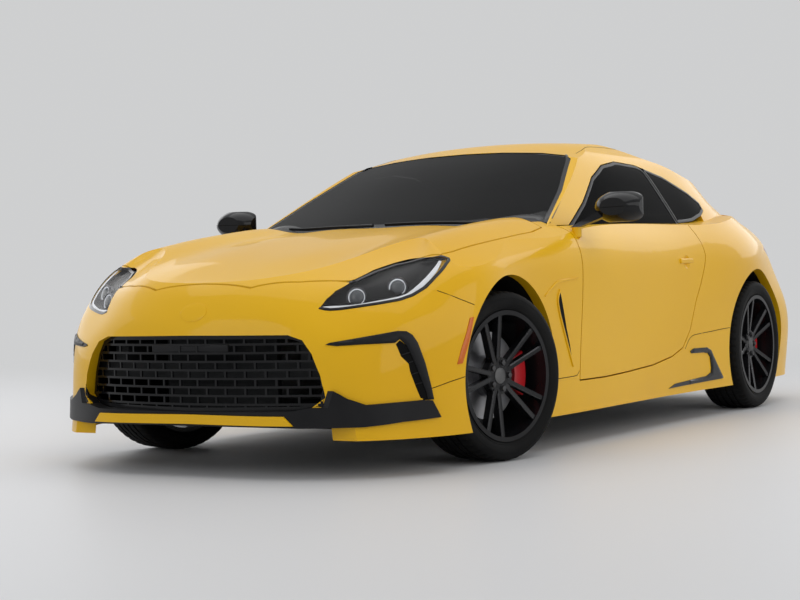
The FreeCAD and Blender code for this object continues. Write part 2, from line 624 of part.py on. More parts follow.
fender = largest(fixed_shell.common(side_prism(fender_shares, -seam, lamp_inner_share)).cut(cowl_room))
skirt = largest(fixed_shell.common(side_prism(skirt_shares, -seam, door_cut_share)))
middle_share = seam / half_width
quarter_low = largest(fixed_shell.common(side_prism(quarter_shares, -seam, middle_share)))
exhaust_half_share = 0.530
exhaust_level_share = 0.172
exhaust_tip_radius = size("exhaust_tip_radius")
exhaust_hole = round_bar(V(tail_x - overrun, across(exhaust_half_share), up(exhaust_level_share)),
                         exhaust_tip_radius + size("exhaust_hole_gap"), rear_overhang, V(1, 0, 0))
rear_bumper = largest(fixed_shell.common(full_side_prism(rear_bumper_shares, -seam)).cut(
    [exhaust_hole, mirrored(exhaust_hole)]))

# Roof, pillars and windows
header_share = 1.495
roof_end_share = 1.870
screen_reach_shares = (0.90, 1.60)
roof_levels_shares = (0.50, 1.10)
rear_past_share = 2.95
screen_cutter = front_prism(screen_shares, *screen_reach_shares)
rear_glass_low_share = 3 * cabin_front_share[1]
rear_window_cutter = plan_prism(rear_window_shares, rear_glass_low_share, roof_levels_shares[1])
window_cutter = side_prism(window_shares, 0.0, lamp_inner_share)
seam_share = seam / wheelbase
roof_frame = roof_outer.cut([roof_inner, screen_cutter, rear_window_cutter,
                             window_cutter, mirrored(window_cutter)])
front_zone = slab((screen_reach_shares[0], -past_share, roof_levels_shares[0]),
                  (header_share - seam_share, past_share, roof_levels_shares[1]))
roof_zone = slab((header_share + seam_share, -past_share, roof_levels_shares[0]),
                 (roof_end_share - seam_share, past_share, roof_levels_shares[1]))
rear_zone = slab((roof_end_share + seam_share, middle_share, roof_levels_shares[0]),
                 (rear_past_share, past_share, roof_levels_shares[1]))
windscreen_frame = largest(roof_frame.common(front_zone).cut(outer_raised))
roof_panel = largest(roof_frame.common(roof_zone))
rear_pillar = largest(roof_frame.common(rear_zone).cut(outer))
quarter_panel = largest(quarter_low.fuse(rear_pillar).removeSplitter())

glass_all = glass_outer.cut(glass_inner)
glass = glass_all.cut(outer_raised)
windscreen = largest(glass.common(front_prism(screen_shares, *screen_reach_shares, -fixed_gap)))
rear_window = largest(glass.common(plan_prism(rear_window_shares, rear_glass_low_share,
                                              roof_levels_shares[1], -fixed_gap)))
behind_pillar_shares = [(2.10, 0.960), (2.10, 0.560), (1.755, 0.560)]
behind_split_shares = pillar_split_shares + behind_pillar_shares
quarter_window = largest(glass.common(side_prism(window_shares, -fixed_gap, lamp_inner_share)).common(
    side_prism(behind_split_shares, 0.0, lamp_inner_share)))
door_window_shares = [
    (1.282, 0.664), (1.378, 0.752), (1.461, 0.842), (1.530, 0.889), (1.600, 0.908), (1.683, 0.902),
    (1.783, 0.866), (1.866, 0.812), (1.811, 0.640), (1.300, 0.640)]
door_window = largest(glass_all.common(side_prism(door_window_shares, -panel_gap, lamp_inner_share)).cut(
    [side_prism(behind_split_shares, size("glass_gap"), lamp_inner_share), inner_raised]))

# Doors: the outer skin meets the shut line, the inner box is set back to swing clear,
# and the skin's top leaves room for the glass and the pillars
door_setback = size("door_setback")
door_hinge = V(front_axle_x - size("door_hinge_back"), half_width - size("door_hinge_inset"), 0)
door_skin = shell.common(side_prism(door_shares, 0.0, door_inner_share)).cut(side_slab(-panel_gap))
door_box = inner.common(side_prism(door_shares, -door_setback, door_inner_share))
striker_middle_share = (1.7600, 0.857, 0.520)
striker_length = size("striker_length")
striker_width = size("striker_width")
striker_height = size("striker_height")
post_back_x = rear_axle_x + size("post_ahead")
post_front_x = post_back_x + size("post_thickness")
striker_y = across(striker_middle_share[1])
striker_z = up(striker_middle_share[2])
striker = block(V(post_front_x, striker_y - striker_width / 2, striker_z - striker_height / 2),
                V(post_front_x + striker_length, striker_y + striker_width / 2, striker_z + striker_height / 2))
latch_slot = block(V(post_front_x, 0, striker_z - striker_height / 2 - fixed_gap),
                   V(post_front_x + striker_length + panel_gap, striker_y + striker_width / 2 + panel_gap,
                     striker_z + striker_height / 2 + fixed_gap))
mirror_pivot = V(front_axle_x - size("mirror_back"), half_width - size("mirror_inset"), 0)
mirror_foot_size = size("mirror_foot_size")
mirror_foot_top = size("mirror_foot_top")
mirror_foot = round_bar(mirror_pivot + V(0, 0, mirror_foot_top - mirror_foot_size), mirror_foot_size / 2,
                        mirror_foot_size, V(0, 0, 1))
handle_length = size("handle_length")
handle_height = size("handle_height")
dish_radius = size("handle_dish_radius")
handle_face = V(front_axle_x - size("handle_back"), half_width - size("handle_inset"), size("handle_level"))
handle_low = handle_face - V(handle_length / 2, size("handle_depth"), handle_height / 2)
handle = block(handle_low, handle_face + V(handle_length / 2, 0, handle_height / 2))
handle = handle.makeFillet(size("handle_round"), handle.Edges)
handle_dish = Part.makeSphere(dish_radius, handle_face + V(0, dish_radius - size("handle_dish_depth"), 0))
door_skin = door_skin.cut(handle_dish)
door = largest(door_skin.fuse([door_box, mirror_foot, handle]).cut(latch_slot).removeSplitter())

# Mirrors
mirror_width = size("mirror_width")
mirror_depth = size("mirror_depth")
mirror_height = size("mirror_height")
mirror_bottom = size("mirror_bottom")
mirror_start = mirror_pivot.y + size("mirror_reach")
mirror_round = size("mirror_round")
mirror_front_x = mirror_pivot.x - size("mirror_setback")
housing_low = V(mirror_front_x - mirror_depth, mirror_start, mirror_bottom)
housing = block(housing_low, housing_low + V(mirror_depth, mirror_width, mirror_height))
housing = housing.makeFillet(mirror_round, housing.Edges)
bowl_share = 1.16
bowl_scale = FreeCAD.Matrix()
bowl_scale.scale(mirror_depth * bowl_share, mirror_width / 2 * bowl_share, mirror_height / 2 * bowl_share)
bowl = Part.makeSphere(1).transformGeometry(bowl_scale)
bowl.translate(housing_low + V(0, mirror_width / 2, mirror_height / 2))
housing = housing.common(bowl)
stalk_half = mirror_foot_size / 2
stalk_foot = mirror_pivot + V(0, 0, mirror_foot_top + fixed_gap)
stalk_end_share = (0.45, 0.34, 0.42)
stalk_end = housing_low + V(mirror_depth * stalk_end_share[0], mirror_width * stalk_end_share[1],
                            mirror_height * stalk_end_share[2])
foot_corners = [stalk_foot + V(-stalk_half, -stalk_half, 0), stalk_foot + V(stalk_half, -stalk_half, 0),
                stalk_foot + V(stalk_half, stalk_half, 0), stalk_foot + V(-stalk_half, stalk_half, 0)]
end_corners = [stalk_end + V(-stalk_half, 0, stalk_half), stalk_end + V(stalk_half, 0, stalk_half),
               stalk_end + V(stalk_half, 0, -stalk_half), stalk_end + V(-stalk_half, 0, -stalk_half)]
stalk = Part.makeLoft([Part.makePolygon(corners + corners[:1]) for corners in (foot_corners, end_corners)],
                      True, True)
mirror = largest(housing.fuse(stalk).removeSplitter())

# Lamps fill their openings
lamp_depth = size("lamp_depth")
headlamp = largest(outer.cut(lower_body(lamp_depth, lamp_depth)).common(
    side_prism(lamp_shares, 0.0, lamp_inner_share)).cut(bonnet_cutter))
tail_lamp = largest(shell.common(side_prism(tail_lamp_shares, 0.0, lamp_inner_share)).cut(boot_cutter))

# Grille: a curved plate in the nose's opening, with staggered cells
grille_radius = size("grille_radius")
grille_thickness = size("grille_thickness")
grille_front_x = nose_x - size("grille_setback")
grille_centre = V(grille_front_x - grille_radius, 0, 0)
grille_ring = round_bar(grille_centre, grille_radius, height, V(0, 0, 1)).cut(
    round_bar(grille_centre, grille_radius - grille_thickness, height, V(0, 0, 1)))
grille_plate = grille_ring.common(front_prism(grille_shares, nose_past_share, grille_back_share, -fixed_gap))
cell_width = size("cell_width")
cell_height = size("cell_height")
cell_bar = size("cell_bar")
grille_border = size("grille_border")
cell_room = front_prism(grille_shares, nose_past_share, grille_back_share, -grille_border)
grille_low_share = 0.176
grille_top_share = 0.382
cells = []
cell_rows = int((up(grille_top_share - grille_low_share)) / (cell_height + cell_bar))
cell_columns = int(half_width / (cell_width + cell_bar))
for cell_row in range(cell_rows + 1):
    cell_z = up(grille_low_share) + cell_row * (cell_height + cell_bar)
    stagger = (cell_row % 2) * (cell_width + cell_bar) / 2
    for cell_column in range(-cell_columns, cell_columns + 1):
        cell_y = cell_column * (cell_width + cell_bar) + stagger
        cells.append(block(V(0, cell_y, cell_z), V(nose_x, cell_y + cell_width, cell_z + cell_height)))
cell_cutter = Part.makeCompound(cells).common(cell_room)
front_grille = largest(grille_plate.cut(cell_cutter))

# Floor pan with firewall, rear bulkhead, rails, beams and door posts
floor_height = size("floor_height")
floor_top = floor_height + size("floor_thickness")
wall_thickness = size("wall_thickness")
liner_thickness = size("liner_thickness")
firewall_front_x = front_axle_x - size("firewall_back")
firewall_back_x = firewall_front_x - wall_thickness
bulkhead_back_x = rear_axle_x + size("bulkhead_ahead")
bulkhead_front_x = bulkhead_back_x + wall_thickness
shelf_level = size("shelf_level")
beam_front_x = nose_x - size("beam_setback")
beam_back_x = beam_front_x - size("beam_depth")
beam_low = size("beam_level")
beam_top = beam_low + size("beam_height")
rail_inner_y = size("rail_inner")
rail_outer_y = rail_inner_y + size("rail_width")
rail_low = beam_top
rail_top = rail_low + size("rail_height")
support_half_share = 0.28
rear_panel_half_share = 0.45
support_back_x = nose_x - size("support_setback")
rear_panel_x = tail_x + size("rear_panel_ahead")
post_inner_share = 0.72


def spanning(low_x, high_x, low_z, high_z, half_y=half_width):
    return block(V(low_x, -half_y, low_z), V(high_x, half_y, high_z))


joint_overlap = size("joint_overlap")
rail = block(V(firewall_front_x - joint_overlap, rail_inner_y, rail_low - joint_overlap),
             V(beam_front_x, rail_outer_y, rail_top))
post = block(V(post_back_x, across(post_inner_share), floor_height), V(post_front_x, half_width, height))
tray_back_x = nose_x - size("nose_tray_back")
tray_low = floor_height + size("nose_tray_lift")
tray_top = floor_top + size("nose_tray_lift")
floor_blank = spanning(tail_x, tray_back_x, floor_height, floor_top).fuse([
    spanning(tray_back_x - wall_thickness, tray_back_x, floor_height, tray_top),
    spanning(tray_back_x - joint_overlap, nose_x, tray_low, tray_top),
    spanning(firewall_back_x, firewall_front_x, floor_height, height),
    spanning(bulkhead_back_x, bulkhead_front_x, floor_height, shelf_level),
    spanning(beam_back_x, beam_front_x, beam_low, beam_top), rail, mirrored(rail), post, mirrored(post),
    spanning(support_back_x, support_back_x + wall_thickness, tray_low, height, across(support_half_share)),
    spanning(rear_panel_x, rear_panel_x + wall_thickness, floor_height, height, across(rear_panel_half_share))])
liner_radius = arch_radius + liner_thickness
liner_room_radius = liner_radius + fixed_gap
liner_inner_y = arch_inner_y - liner_thickness
liner_rooms = arch_cutter(front_axle_x, liner_room_radius, liner_inner_y - fixed_gap).fuse(
    arch_cutter(rear_axle_x, liner_room_radius, liner_inner_y - fixed_gap))
floor_pan = largest(
    floor_blank.common(lining).cut(liner_rooms).fuse([striker, mirrored(striker)]).removeSplitter())

# Wheel liners, open towards the axle below the wall
liner_wall_low = size("liner_wall_low")


def liner(axle_x):
    drum = round_bar(
        V(axle_x, arch_inner_y, tyre_radius), liner_radius, half_width - arch_inner_y, V(0, 1, 0)).cut(
        round_bar(V(axle_x, arch_inner_y, tyre_radius), arch_radius, half_width - arch_inner_y, V(0, 1, 0)))
    wall = round_bar(V(axle_x, liner_inner_y, tyre_radius), liner_radius, liner_thickness, V(0, 1, 0))
    wall = wall.cut(spanning(tail_x, nose_x, -height, liner_wall_low))
    whole = drum.fuse(wall).common(spanning(tail_x, nose_x, floor_height, height))
    return largest(whole.common(lining))


# Inside
def above_floor(shape):
    return shape.common(spanning(tail_x, nose_x, floor_top + fixed_gap, height))


def cross_profile(outline, half_length, middle_y=0.0):
    """Solid across the car from an outline of (station, height share)."""
    corners = [V(along(station), middle_y - half_length, up(level)) for station, level in outline]
    return outline_face(corners).extrude(V(0, 2 * half_length, 0))


dash_shares = [(1.200, 0.458), (1.200, 0.650), (1.300, 0.650), (1.352, 0.612), (1.360, 0.530),
                (1.330, 0.460), (1.290, 0.430)]
front_seat_shares = [
    (1.440, 0.120), (1.432, 0.275), (1.448, 0.302), (1.591, 0.267), (1.661, 0.687), (1.669, 0.779),
    (1.708, 0.779), (1.700, 0.672), (1.653, 0.229), (1.626, 0.120)]
rear_seat_shares = [
    (1.739, 0.120), (1.731, 0.305), (1.825, 0.290), (1.886, 0.626), (1.925, 0.634), (1.960, 0.634),
    (1.960, 0.120)]
seat_middle_share = 0.406
seat_half_share = 0.270
rear_seat_half_share = 0.490
dash_half_share = 0.775
shelf_half_share = 0.600
steering_point_share = (1.440, seat_middle_share, 0.599)
steering_tilt = 25.0
steering_wheel_radius = size("steering_wheel_radius")
steering_rim_radius = size("steering_rim_radius")
column_radius = size("column_radius")
steering_hub_length = size("steering_hub_length")

steering_centre = point(*steering_point_share)
steering_turn = FreeCAD.Rotation(V(0, 1, 0), steering_tilt)
steering_place = FreeCAD.Placement(steering_centre, steering_turn)
dashboard = cross_profile(dash_shares, across(dash_half_share)).common(
    spanning(tail_x, firewall_back_x - fixed_gap, 0, height))
column = round_bar(
    V(steering_hub_length / 2 + fixed_gap, 0, 0), column_radius, size("column_length"), V(1, 0, 0))
column.Placement = steering_place.multiply(column.Placement)
dashboard = largest(dashboard.fuse(
    column.common(spanning(tail_x, firewall_back_x - fixed_gap, 0, height))).removeSplitter())
front_seat = largest(above_floor(
    cross_profile(front_seat_shares, across(seat_half_share), across(seat_middle_share))))
rear_seat = largest(above_floor(cross_profile(rear_seat_shares, across(rear_seat_half_share))).common(
    spanning(bulkhead_front_x + fixed_gap, nose_x, 0, height)))
parcel_shelf = spanning(along(trunk_back_share), bulkhead_front_x, shelf_level + fixed_gap,
                        shelf_level + size("shelf_thickness"), across(shelf_half_share)).common(lining)

steering_ring_radius = steering_wheel_radius - steering_rim_radius
steering_rim = Part.makeTorus(steering_ring_radius, steering_rim_radius, V(0, 0, 0), V(1, 0, 0))
steering_hub = round_bar(V(-steering_hub_length / 2, 0, 0), column_radius, steering_hub_length, V(1, 0, 0))
steering_arm = block(V(-steering_rim_radius / 2, 0, -steering_rim_radius),
                     V(steering_rim_radius / 2, steering_ring_radius, steering_rim_radius))
arm_spacing = -90.0
steering_arms = [steering_arm.copy() for _ in range(3)]
for arm_number, arm in enumerate(steering_arms):
    arm.rotate(V(0, 0, 0), V(1, 0, 0), arm_number * arm_spacing)
steering_wheel = largest(steering_rim.fuse([steering_hub] + steering_arms).removeSplitter())

# Exhaust: a silencer across the tail with two tips
silencer_radius = size("silencer_radius")
silencer_z = floor_top + fixed_gap + silencer_radius
silencer_x = tail_x + size("silencer_ahead")
silencer_half = across(exhaust_half_share) + exhaust_tip_radius + size("silencer_past")
silencer = round_bar(
    V(silencer_x, -silencer_half, silencer_z), silencer_radius, 2 * silencer_half, V(0, 1, 0))
tip = round_bar(V(tail_x + size("tip_ahead"), across(exhaust_half_share), up(exhaust_level_share)),
                exhaust_tip_radius, silencer_x - tail_x - size("tip_ahead"), V(1, 0, 0))
tip_bore = round_bar(V(tail_x, across(exhaust_half_share), up(exhaust_level_share)),
                     exhaust_tip_radius - size("tip_wall"), size("tip_bore_depth"), V(1, 0, 0))
exhaust = largest(silencer.fuse([tip, mirrored(tip)]).cut([tip_bore, mirrored(tip_bore)]).removeSplitter())

# Wheels, with the axle along Y, the wheel's middle at the origin and its outside at +Y
full_turn = 360.0
rim_radius = size("rim_radius")
rim_half = size("rim_width") / 2
rim_lip_radius = size("rim_lip_radius")
rim_lip = size("rim_lip")
rim_wall = size("rim_wall")
rim_gap = size("rim_gap")
tyre_half = size("tyre_width") / 2
hub_radius = size("hub_radius")
hub_bore = size("hub_bore_radius")
hub_inner_y = size("hub_offset")
hub_thickness = size("hub_thickness")
spoke_width = size("spoke_width")
spoke_depth = size("spoke_depth")
spoke_pairs = 5
spoke_spread = 11.0
disc_radius = size("disc_radius")
disc_thickness = size("disc_thickness")
hat_radius = size("hat_radius")
hat_wall = size("hat_wall")
disc_face_y = size("disc_face")


def turned(profile, angle=full_turn):
    """Ring or sector about the axle from (radius, sideways) corners."""
    corners = [V(radius, sideways, 0) for radius, sideways in profile]
    return outline_face(corners).revolve(V(0, 0, 0), V(0, 1, 0), angle)


bead = rim_radius + rim_gap
bead_half = rim_half - rim_lip - size("bead_gap")
bulge_share = 0.52
shoulder_share = 0.86
shoulder_width_share = 0.95
tread_width_share = 0.78
tyre_depth = tyre_radius - bead
tyre_side = [
    (bead, bead_half), (rim_lip_radius + rim_gap, bead_half), (bead + tyre_depth * bulge_share, tyre_half),
    (bead + tyre_depth * shoulder_share, tyre_half * shoulder_width_share),
    (tyre_radius, tyre_half * tread_width_share)]
tyre = turned(tyre_side + [(radius, -sideways) for radius, sideways in tyre_side[::-1]])

barrel = turned([
    (rim_radius - rim_wall, -rim_half), (rim_lip_radius, -rim_half), (rim_lip_radius, -rim_half + rim_lip),
    (rim_radius, -rim_half + rim_lip), (rim_radius, rim_half - rim_lip), (rim_lip_radius, rim_half - rim_lip),
    (rim_lip_radius, rim_half), (rim_radius - rim_wall, rim_half)])
hub = turned([(hub_bore, hub_inner_y), (hub_radius, hub_inner_y), (hub_radius, hub_inner_y + hub_thickness),
              (hub_bore, hub_inner_y + hub_thickness)])
spoke_root = (hub_bore + hub_radius) / 2
spoke_end = rim_radius - rim_wall / 2
spoke_face = [V(spoke_root, hub_inner_y, -spoke_width / 2),
              V(spoke_root, hub_inner_y + hub_thickness, -spoke_width / 2),
              V(spoke_end, rim_half - rim_lip, -spoke_width / 2),
              V(spoke_end, rim_half - rim_lip - spoke_depth, -spoke_width / 2)]
spoke = outline_face(spoke_face).extrude(V(0, 0, spoke_width))
spokes = []
for pair_number in range(spoke_pairs):
    for side in (-1, 1):
        turned_spoke = spoke.copy()
        spoke_turn = full_turn / spoke_pairs * pair_number + side * spoke_spread
        turned_spoke.rotate(V(0, 0, 0), V(0, 1, 0), spoke_turn)
        spokes.append(turned_spoke)
rim = largest(barrel.fuse([hub] + spokes).removeSplitter())
disc = turned([
    (hat_radius - hat_wall, disc_face_y - disc_thickness), (disc_radius, disc_face_y - disc_thickness),
    (disc_radius, disc_face_y), (hat_radius, disc_face_y), (hat_radius, hub_inner_y - fixed_gap),
    (hub_bore, hub_inner_y - fixed_gap), (hub_bore, hub_inner_y - fixed_gap - hat_wall),
    (hat_radius - hat_wall, hub_inner_y - fixed_gap - hat_wall)])

# Brake calipers and wheel carriers
pad_gap = size("pad_gap")
caliper_wall = size("caliper_wall")
caliper_inner_radius = disc_radius + caliper_wall + pad_gap - size("caliper_depth")
caliper_angle = 52.0
caliper_place = 180.0
caliper_out_y = disc_face_y + pad_gap + caliper_wall
caliper_in_y = disc_face_y - disc_thickness - pad_gap - caliper_wall
caliper = turned([
    (caliper_inner_radius, caliper_in_y), (disc_radius + pad_gap + caliper_wall, caliper_in_y),
    (disc_radius + pad_gap + caliper_wall, caliper_out_y), (caliper_inner_radius, caliper_out_y),
    (caliper_inner_radius, caliper_out_y - caliper_wall),
    (disc_radius + pad_gap, caliper_out_y - caliper_wall),
    (disc_radius + pad_gap, caliper_in_y + caliper_wall),
    (caliper_inner_radius, caliper_in_y + caliper_wall)],
    caliper_angle)
caliper.rotate(V(0, 0, 0), V(0, 1, 0), caliper_place - caliper_angle / 2)
kingpin_y = -size("kingpin_offset")
kingpin_radius = size("kingpin_radius")
kingpin_low = -size("kingpin_below")
kingpin_high = size("kingpin_above")
housing_radius = size("housing_radius")
housing_length = size("housing_length")
spindle_radius = hub_bore - fixed_gap
bracket_thickness = size("bracket_thickness")
bearing_housing = round_bar(
    V(0, kingpin_y - housing_length / 2, 0), housing_radius, housing_length, V(0, 1, 0))
spindle = round_bar(V(0, kingpin_y, 0), spindle_radius, hub_inner_y + hub_thickness - kingpin_y, V(0, 1, 0))
kingpin = round_bar(V(0, kingpin_y, kingpin_low), kingpin_radius, kingpin_high - kingpin_low, V(0, 0, 1))
bracket = block(V(0, caliper_in_y - fixed_gap - bracket_thickness, -housing_radius),
                V(caliper_inner_radius + caliper_wall, caliper_in_y - fixed_gap, housing_radius))
bracket.rotate(V(0, 0, 0), V(0, 1, 0), caliper_place)
carrier = largest(kingpin.fuse([bearing_housing, spindle, bracket]).removeSplitter())

# Suspension arms, one axle at a time; the wheels' carriers ride between them
arm_thickness = size("arm_thickness")
subframe_half = size("subframe_half")
subframe_depth = size("subframe_depth")
subframe_top = floor_top + size("subframe_height")
damper_radius = size("damper_radius")
damper_inset = size("damper_inset")


def arm_plate(axle_x, inner_y, outer_y, root_half, low_z):
    """Tapered arm from the body out to a round end under or over the carrier."""
    corners = [V(axle_x - root_half, inner_y, low_z), V(axle_x - kingpin_radius, outer_y, low_z),
               V(axle_x + kingpin_radius, outer_y, low_z), V(axle_x + root_half, inner_y, low_z)]
    end = round_bar(V(axle_x, outer_y, low_z), kingpin_radius, arm_thickness, V(0, 0, 1))
    return outline_face(corners).extrude(V(0, 0, arm_thickness)).fuse(end)


def suspension(axle_x, joint_y, upper_inner_y, extra):
    low_z = tyre_radius + kingpin_low - fixed_gap - arm_thickness
    high_z = tyre_radius + kingpin_high + fixed_gap
    subframe = spanning(axle_x - subframe_depth / 2, axle_x + subframe_depth / 2, floor_top + fixed_gap,
                        subframe_top, subframe_half)
    lower = arm_plate(axle_x, subframe_half - joint_overlap, joint_y, subframe_depth / 2, low_z)
    upper = arm_plate(axle_x, upper_inner_y, joint_y, kingpin_radius, high_z)
    damper = round_bar(
        V(axle_x, joint_y - damper_inset, low_z), damper_radius, height / 2, V(0, 0, 1)).common(
        round_bar(V(axle_x, arch_inner_y, tyre_radius), arch_radius - fixed_gap, half_width, V(0, 1, 0)))
    side = lower.fuse([upper, damper] + extra)
    return largest(subframe.fuse([side, mirrored(side)]).removeSplitter())


front_joint_y = size("front_track") / 2 + kingpin_y
rear_joint_y = size("rear_track") / 2 + kingpin_y
front_suspension = suspension(front_axle_x, front_joint_y, rail_outer_y + fixed_gap, [])
rear_carrier = carrier.translated(V(rear_axle_x, size("rear_track") / 2, tyre_radius))
rear_tie = kingpin.translated(V(rear_axle_x, size("rear_track") / 2, tyre_radius - fixed_gap - arm_thickness))
rear_tie_high = kingpin.translated(
    V(rear_axle_x, size("rear_track") / 2, tyre_radius + fixed_gap + arm_thickness))
half_shaft = round_bar(V(rear_axle_x, 0, tyre_radius), size("half_shaft_radius"), rear_joint_y, V(0, 1, 0))
final_drive = block(V(rear_axle_x - subframe_depth / 2, 0, floor_top + fixed_gap),
                    V(rear_axle_x + subframe_depth / 2, size("final_drive_half"), tyre_radius + subframe_depth / 2))
rear_suspension = suspension(rear_axle_x, rear_joint_y, rear_joint_y - damper_inset,
                             [rear_carrier, rear_tie, rear_tie_high, half_shaft, final_drive])

# The engine is one plain block on the front subframe
engine_low = subframe_top + fixed_gap
engine_back_x = firewall_front_x + size("engine_clearance")


# The document: one object for each sub-part
parts = []


def add(name, shape, placement=None):
    feature = doc.addObject("Part::Feature", name)
    feature.Label = name
    feature.Shape = shape
    if placement:
        feature.Placement = placement.multiply(shape.Placement)
    parts.append(feature)
    return feature


def moved(x, y, z, turn=0.0):
    return FreeCAD.Placement(V(x, y, z), FreeCAD.Rotation(V(0, 0, 1), turn))


add("floor_pan", floor_pan)
add("cowl", cowl)
add("front_bumper", front_bumper)
add("front_grille", front_grille)
add("front_splitter", front_splitter)
add("lip_strip", lip_strip)
add("bumper_corners", pair(bumper_corner))
add("front_fenders", pair(fender))
add("headlamps", pair(headlamp))
add("windscreen", windscreen)
add("windscreen_frame", windscreen_frame)
add("roof_panel", roof_panel)
add("quarter_panels", pair(quarter_panel))
add("quarter_windows", pair(quarter_window))
add("rear_window", rear_window)
add("tail_lamps", pair(tail_lamp))
add("rear_bumper", rear_bumper)
add("side_skirts", pair(skirt))
add("wheel_liners", Part.makeCompound([pair(liner(front_axle_x)), pair(liner(rear_axle_x))]))
add("exhaust", exhaust)
add("dashboard", dashboard)
add("front_seats", pair(front_seat))
add("rear_seat", rear_seat)
add("parcel_shelf", parcel_shelf)
add("front_suspension", front_suspension)
add("rear_suspension", rear_suspension)
add("bonnet", bonnet)
add("boot_lid", boot_lid)
add("steering_wheel", steering_wheel, steering_place)

engine = doc.addObject("Part::Box", "engine_block")
engine.Label = "engine_block"
engine.setExpression("Length", "sizes.engine_length")
engine.setExpression("Width", "sizes.engine_width")
engine.setExpression("Height", "sizes.engine_height")
engine.Placement = moved(engine_back_x, -size("engine_width") / 2, engine_low)
parts.append(engine)

add("door_left", door)
add("door_right", mirrored(door))
add("door_window_left", door_window)
add("door_window_right", mirrored(door_window))
add("mirror_left", mirror)
add("mirror_right", mirrored(mirror))


def wheel_place(axle_x, side, track, turn):
    """Where a wheel's middle stands once its carrier is turned about the kingpin."""
    kingpin_at = V(axle_x, side * (track / 2 + kingpin_y), tyre_radius)
    turned_by = FreeCAD.Rotation(V(0, 0, 1), turn)
    return FreeCAD.Placement(kingpin_at + turned_by.multVec(V(0, -side * kingpin_y, 0)), turned_by)


steer = -size("steer_rest_angle")
wheels = [
    ("front_left", front_axle_x, 1, "front_track", steer),
    ("front_right", front_axle_x, -1, "front_track", steer),
    ("rear_left", rear_axle_x, 1, "rear_track", 0.0),
    ("rear_right", rear_axle_x, -1, "rear_track", 0.0)]
for corner, axle_x, side, track, turn in wheels:
    place = wheel_place(axle_x, side, size(track), turn)
    pieces = [("tyre", tyre), ("rim", rim), ("brake_disc", disc)]
    if axle_x == front_axle_x:
        pieces += [("knuckle", carrier), ("caliper", caliper)]
    for piece, shape in pieces:
        add(piece + "_" + corner, shape if side > 0 else mirrored(shape), place)
rear_caliper_left = caliper.copy()
rear_caliper_left.translate(V(rear_axle_x, size("rear_track") / 2, tyre_radius))
add("rear_calipers", pair(rear_caliper_left))

doc.recompute()
faults = []
for item in doc.Objects:
    if "Invalid" in item.State or "Error" in item.State:
        faults.append(item.Name + " failed to recompute")
for feature in parts:
    if feature.Shape.isNull() or not feature.Shape.isValid():
        faults.append(feature.Label + " has no valid shape")
if faults:
    raise RuntimeError("; ".join(faults))

os.makedirs("parts", exist_ok=True)
for feature in parts:
    feature.Shape.exportStep("parts/" + feature.Label + ".step")
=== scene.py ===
# %% [markdown]
# # A yellow coupe
# The car's real shapes come from CAD as a fixed frame. This lesson dresses that frame: it
# mixes the paint, glass and rubber, and adds the trim that is too fine for the CAD model.
# Everything is in metres: +X points forward, +Y to the car's left and +Z up.

# %% Load the frame
import json
import math

import bmesh
import bpy
from mathutils import Euler, Matrix, Vector
from mathutils.bvhtree import BVHTree
from mathutils.geometry import delaunay_2d_cdt


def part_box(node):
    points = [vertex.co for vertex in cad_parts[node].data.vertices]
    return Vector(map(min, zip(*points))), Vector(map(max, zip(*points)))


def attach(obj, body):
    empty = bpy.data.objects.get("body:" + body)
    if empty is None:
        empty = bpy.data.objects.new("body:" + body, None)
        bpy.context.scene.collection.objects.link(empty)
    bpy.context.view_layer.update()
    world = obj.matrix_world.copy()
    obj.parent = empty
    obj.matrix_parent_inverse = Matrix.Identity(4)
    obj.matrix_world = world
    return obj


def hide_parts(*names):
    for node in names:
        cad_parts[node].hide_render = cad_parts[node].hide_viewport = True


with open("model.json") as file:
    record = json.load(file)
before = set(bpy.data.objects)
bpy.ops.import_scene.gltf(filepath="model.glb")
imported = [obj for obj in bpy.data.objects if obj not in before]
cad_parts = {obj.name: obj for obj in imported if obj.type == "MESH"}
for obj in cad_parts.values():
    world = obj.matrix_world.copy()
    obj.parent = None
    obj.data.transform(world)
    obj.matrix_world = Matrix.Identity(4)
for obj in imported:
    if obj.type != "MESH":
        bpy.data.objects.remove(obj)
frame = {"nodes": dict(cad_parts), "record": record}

scene = bpy.context.scene
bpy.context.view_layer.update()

# %% [markdown]
# ## The camera
# The picture was taken from the car's front left corner, low down, with a long lens. A
# camera can be moved by eye until the render looks like the picture, but it is never quite
# right. Here its place and its three angles were worked out first, from where the wheels
# and the car's corners are in the picture, so that the render can be laid over it. The
# focal length is in pixels, and the sensor's width turns it into millimetres.

# %% Place the camera
photo_width = 800
camera_place = Vector((6.942, 3.844, 0.677))
camera_yaw = math.radians(211.465)
camera_pitch = math.radians(-0.659)
camera_roll = math.radians(-1.499)
focal_pixels = 1731.27

look = Vector((math.cos(camera_pitch) * math.cos(camera_yaw),
    math.cos(camera_pitch) * math.sin(camera_yaw), math.sin(camera_pitch)))
level_right = look.cross(Vector((0, 0, 1))).normalized()
level_up = level_right.cross(look)
right = level_right * math.cos(camera_roll) + level_up * math.sin(camera_roll)
above = level_up * math.cos(camera_roll) - level_right * math.sin(camera_roll)
camera_data = bpy.data.cameras.new("camera")
camera_data.sensor_width = 36
camera_data.lens = focal_pixels / photo_width * camera_data.sensor_width
camera = bpy.data.objects.new("camera", camera_data)
scene.collection.objects.link(camera)
camera.matrix_world = Matrix(((right.x, above.x, -look.x, camera_place.x),
    (right.y, above.y, -look.y, camera_place.y), (right.z, above.z, -look.z, camera_place.z),
    (0, 0, 0, 1)))
scene.camera = camera
print("lens", round(camera_data.lens, 1), "mm")

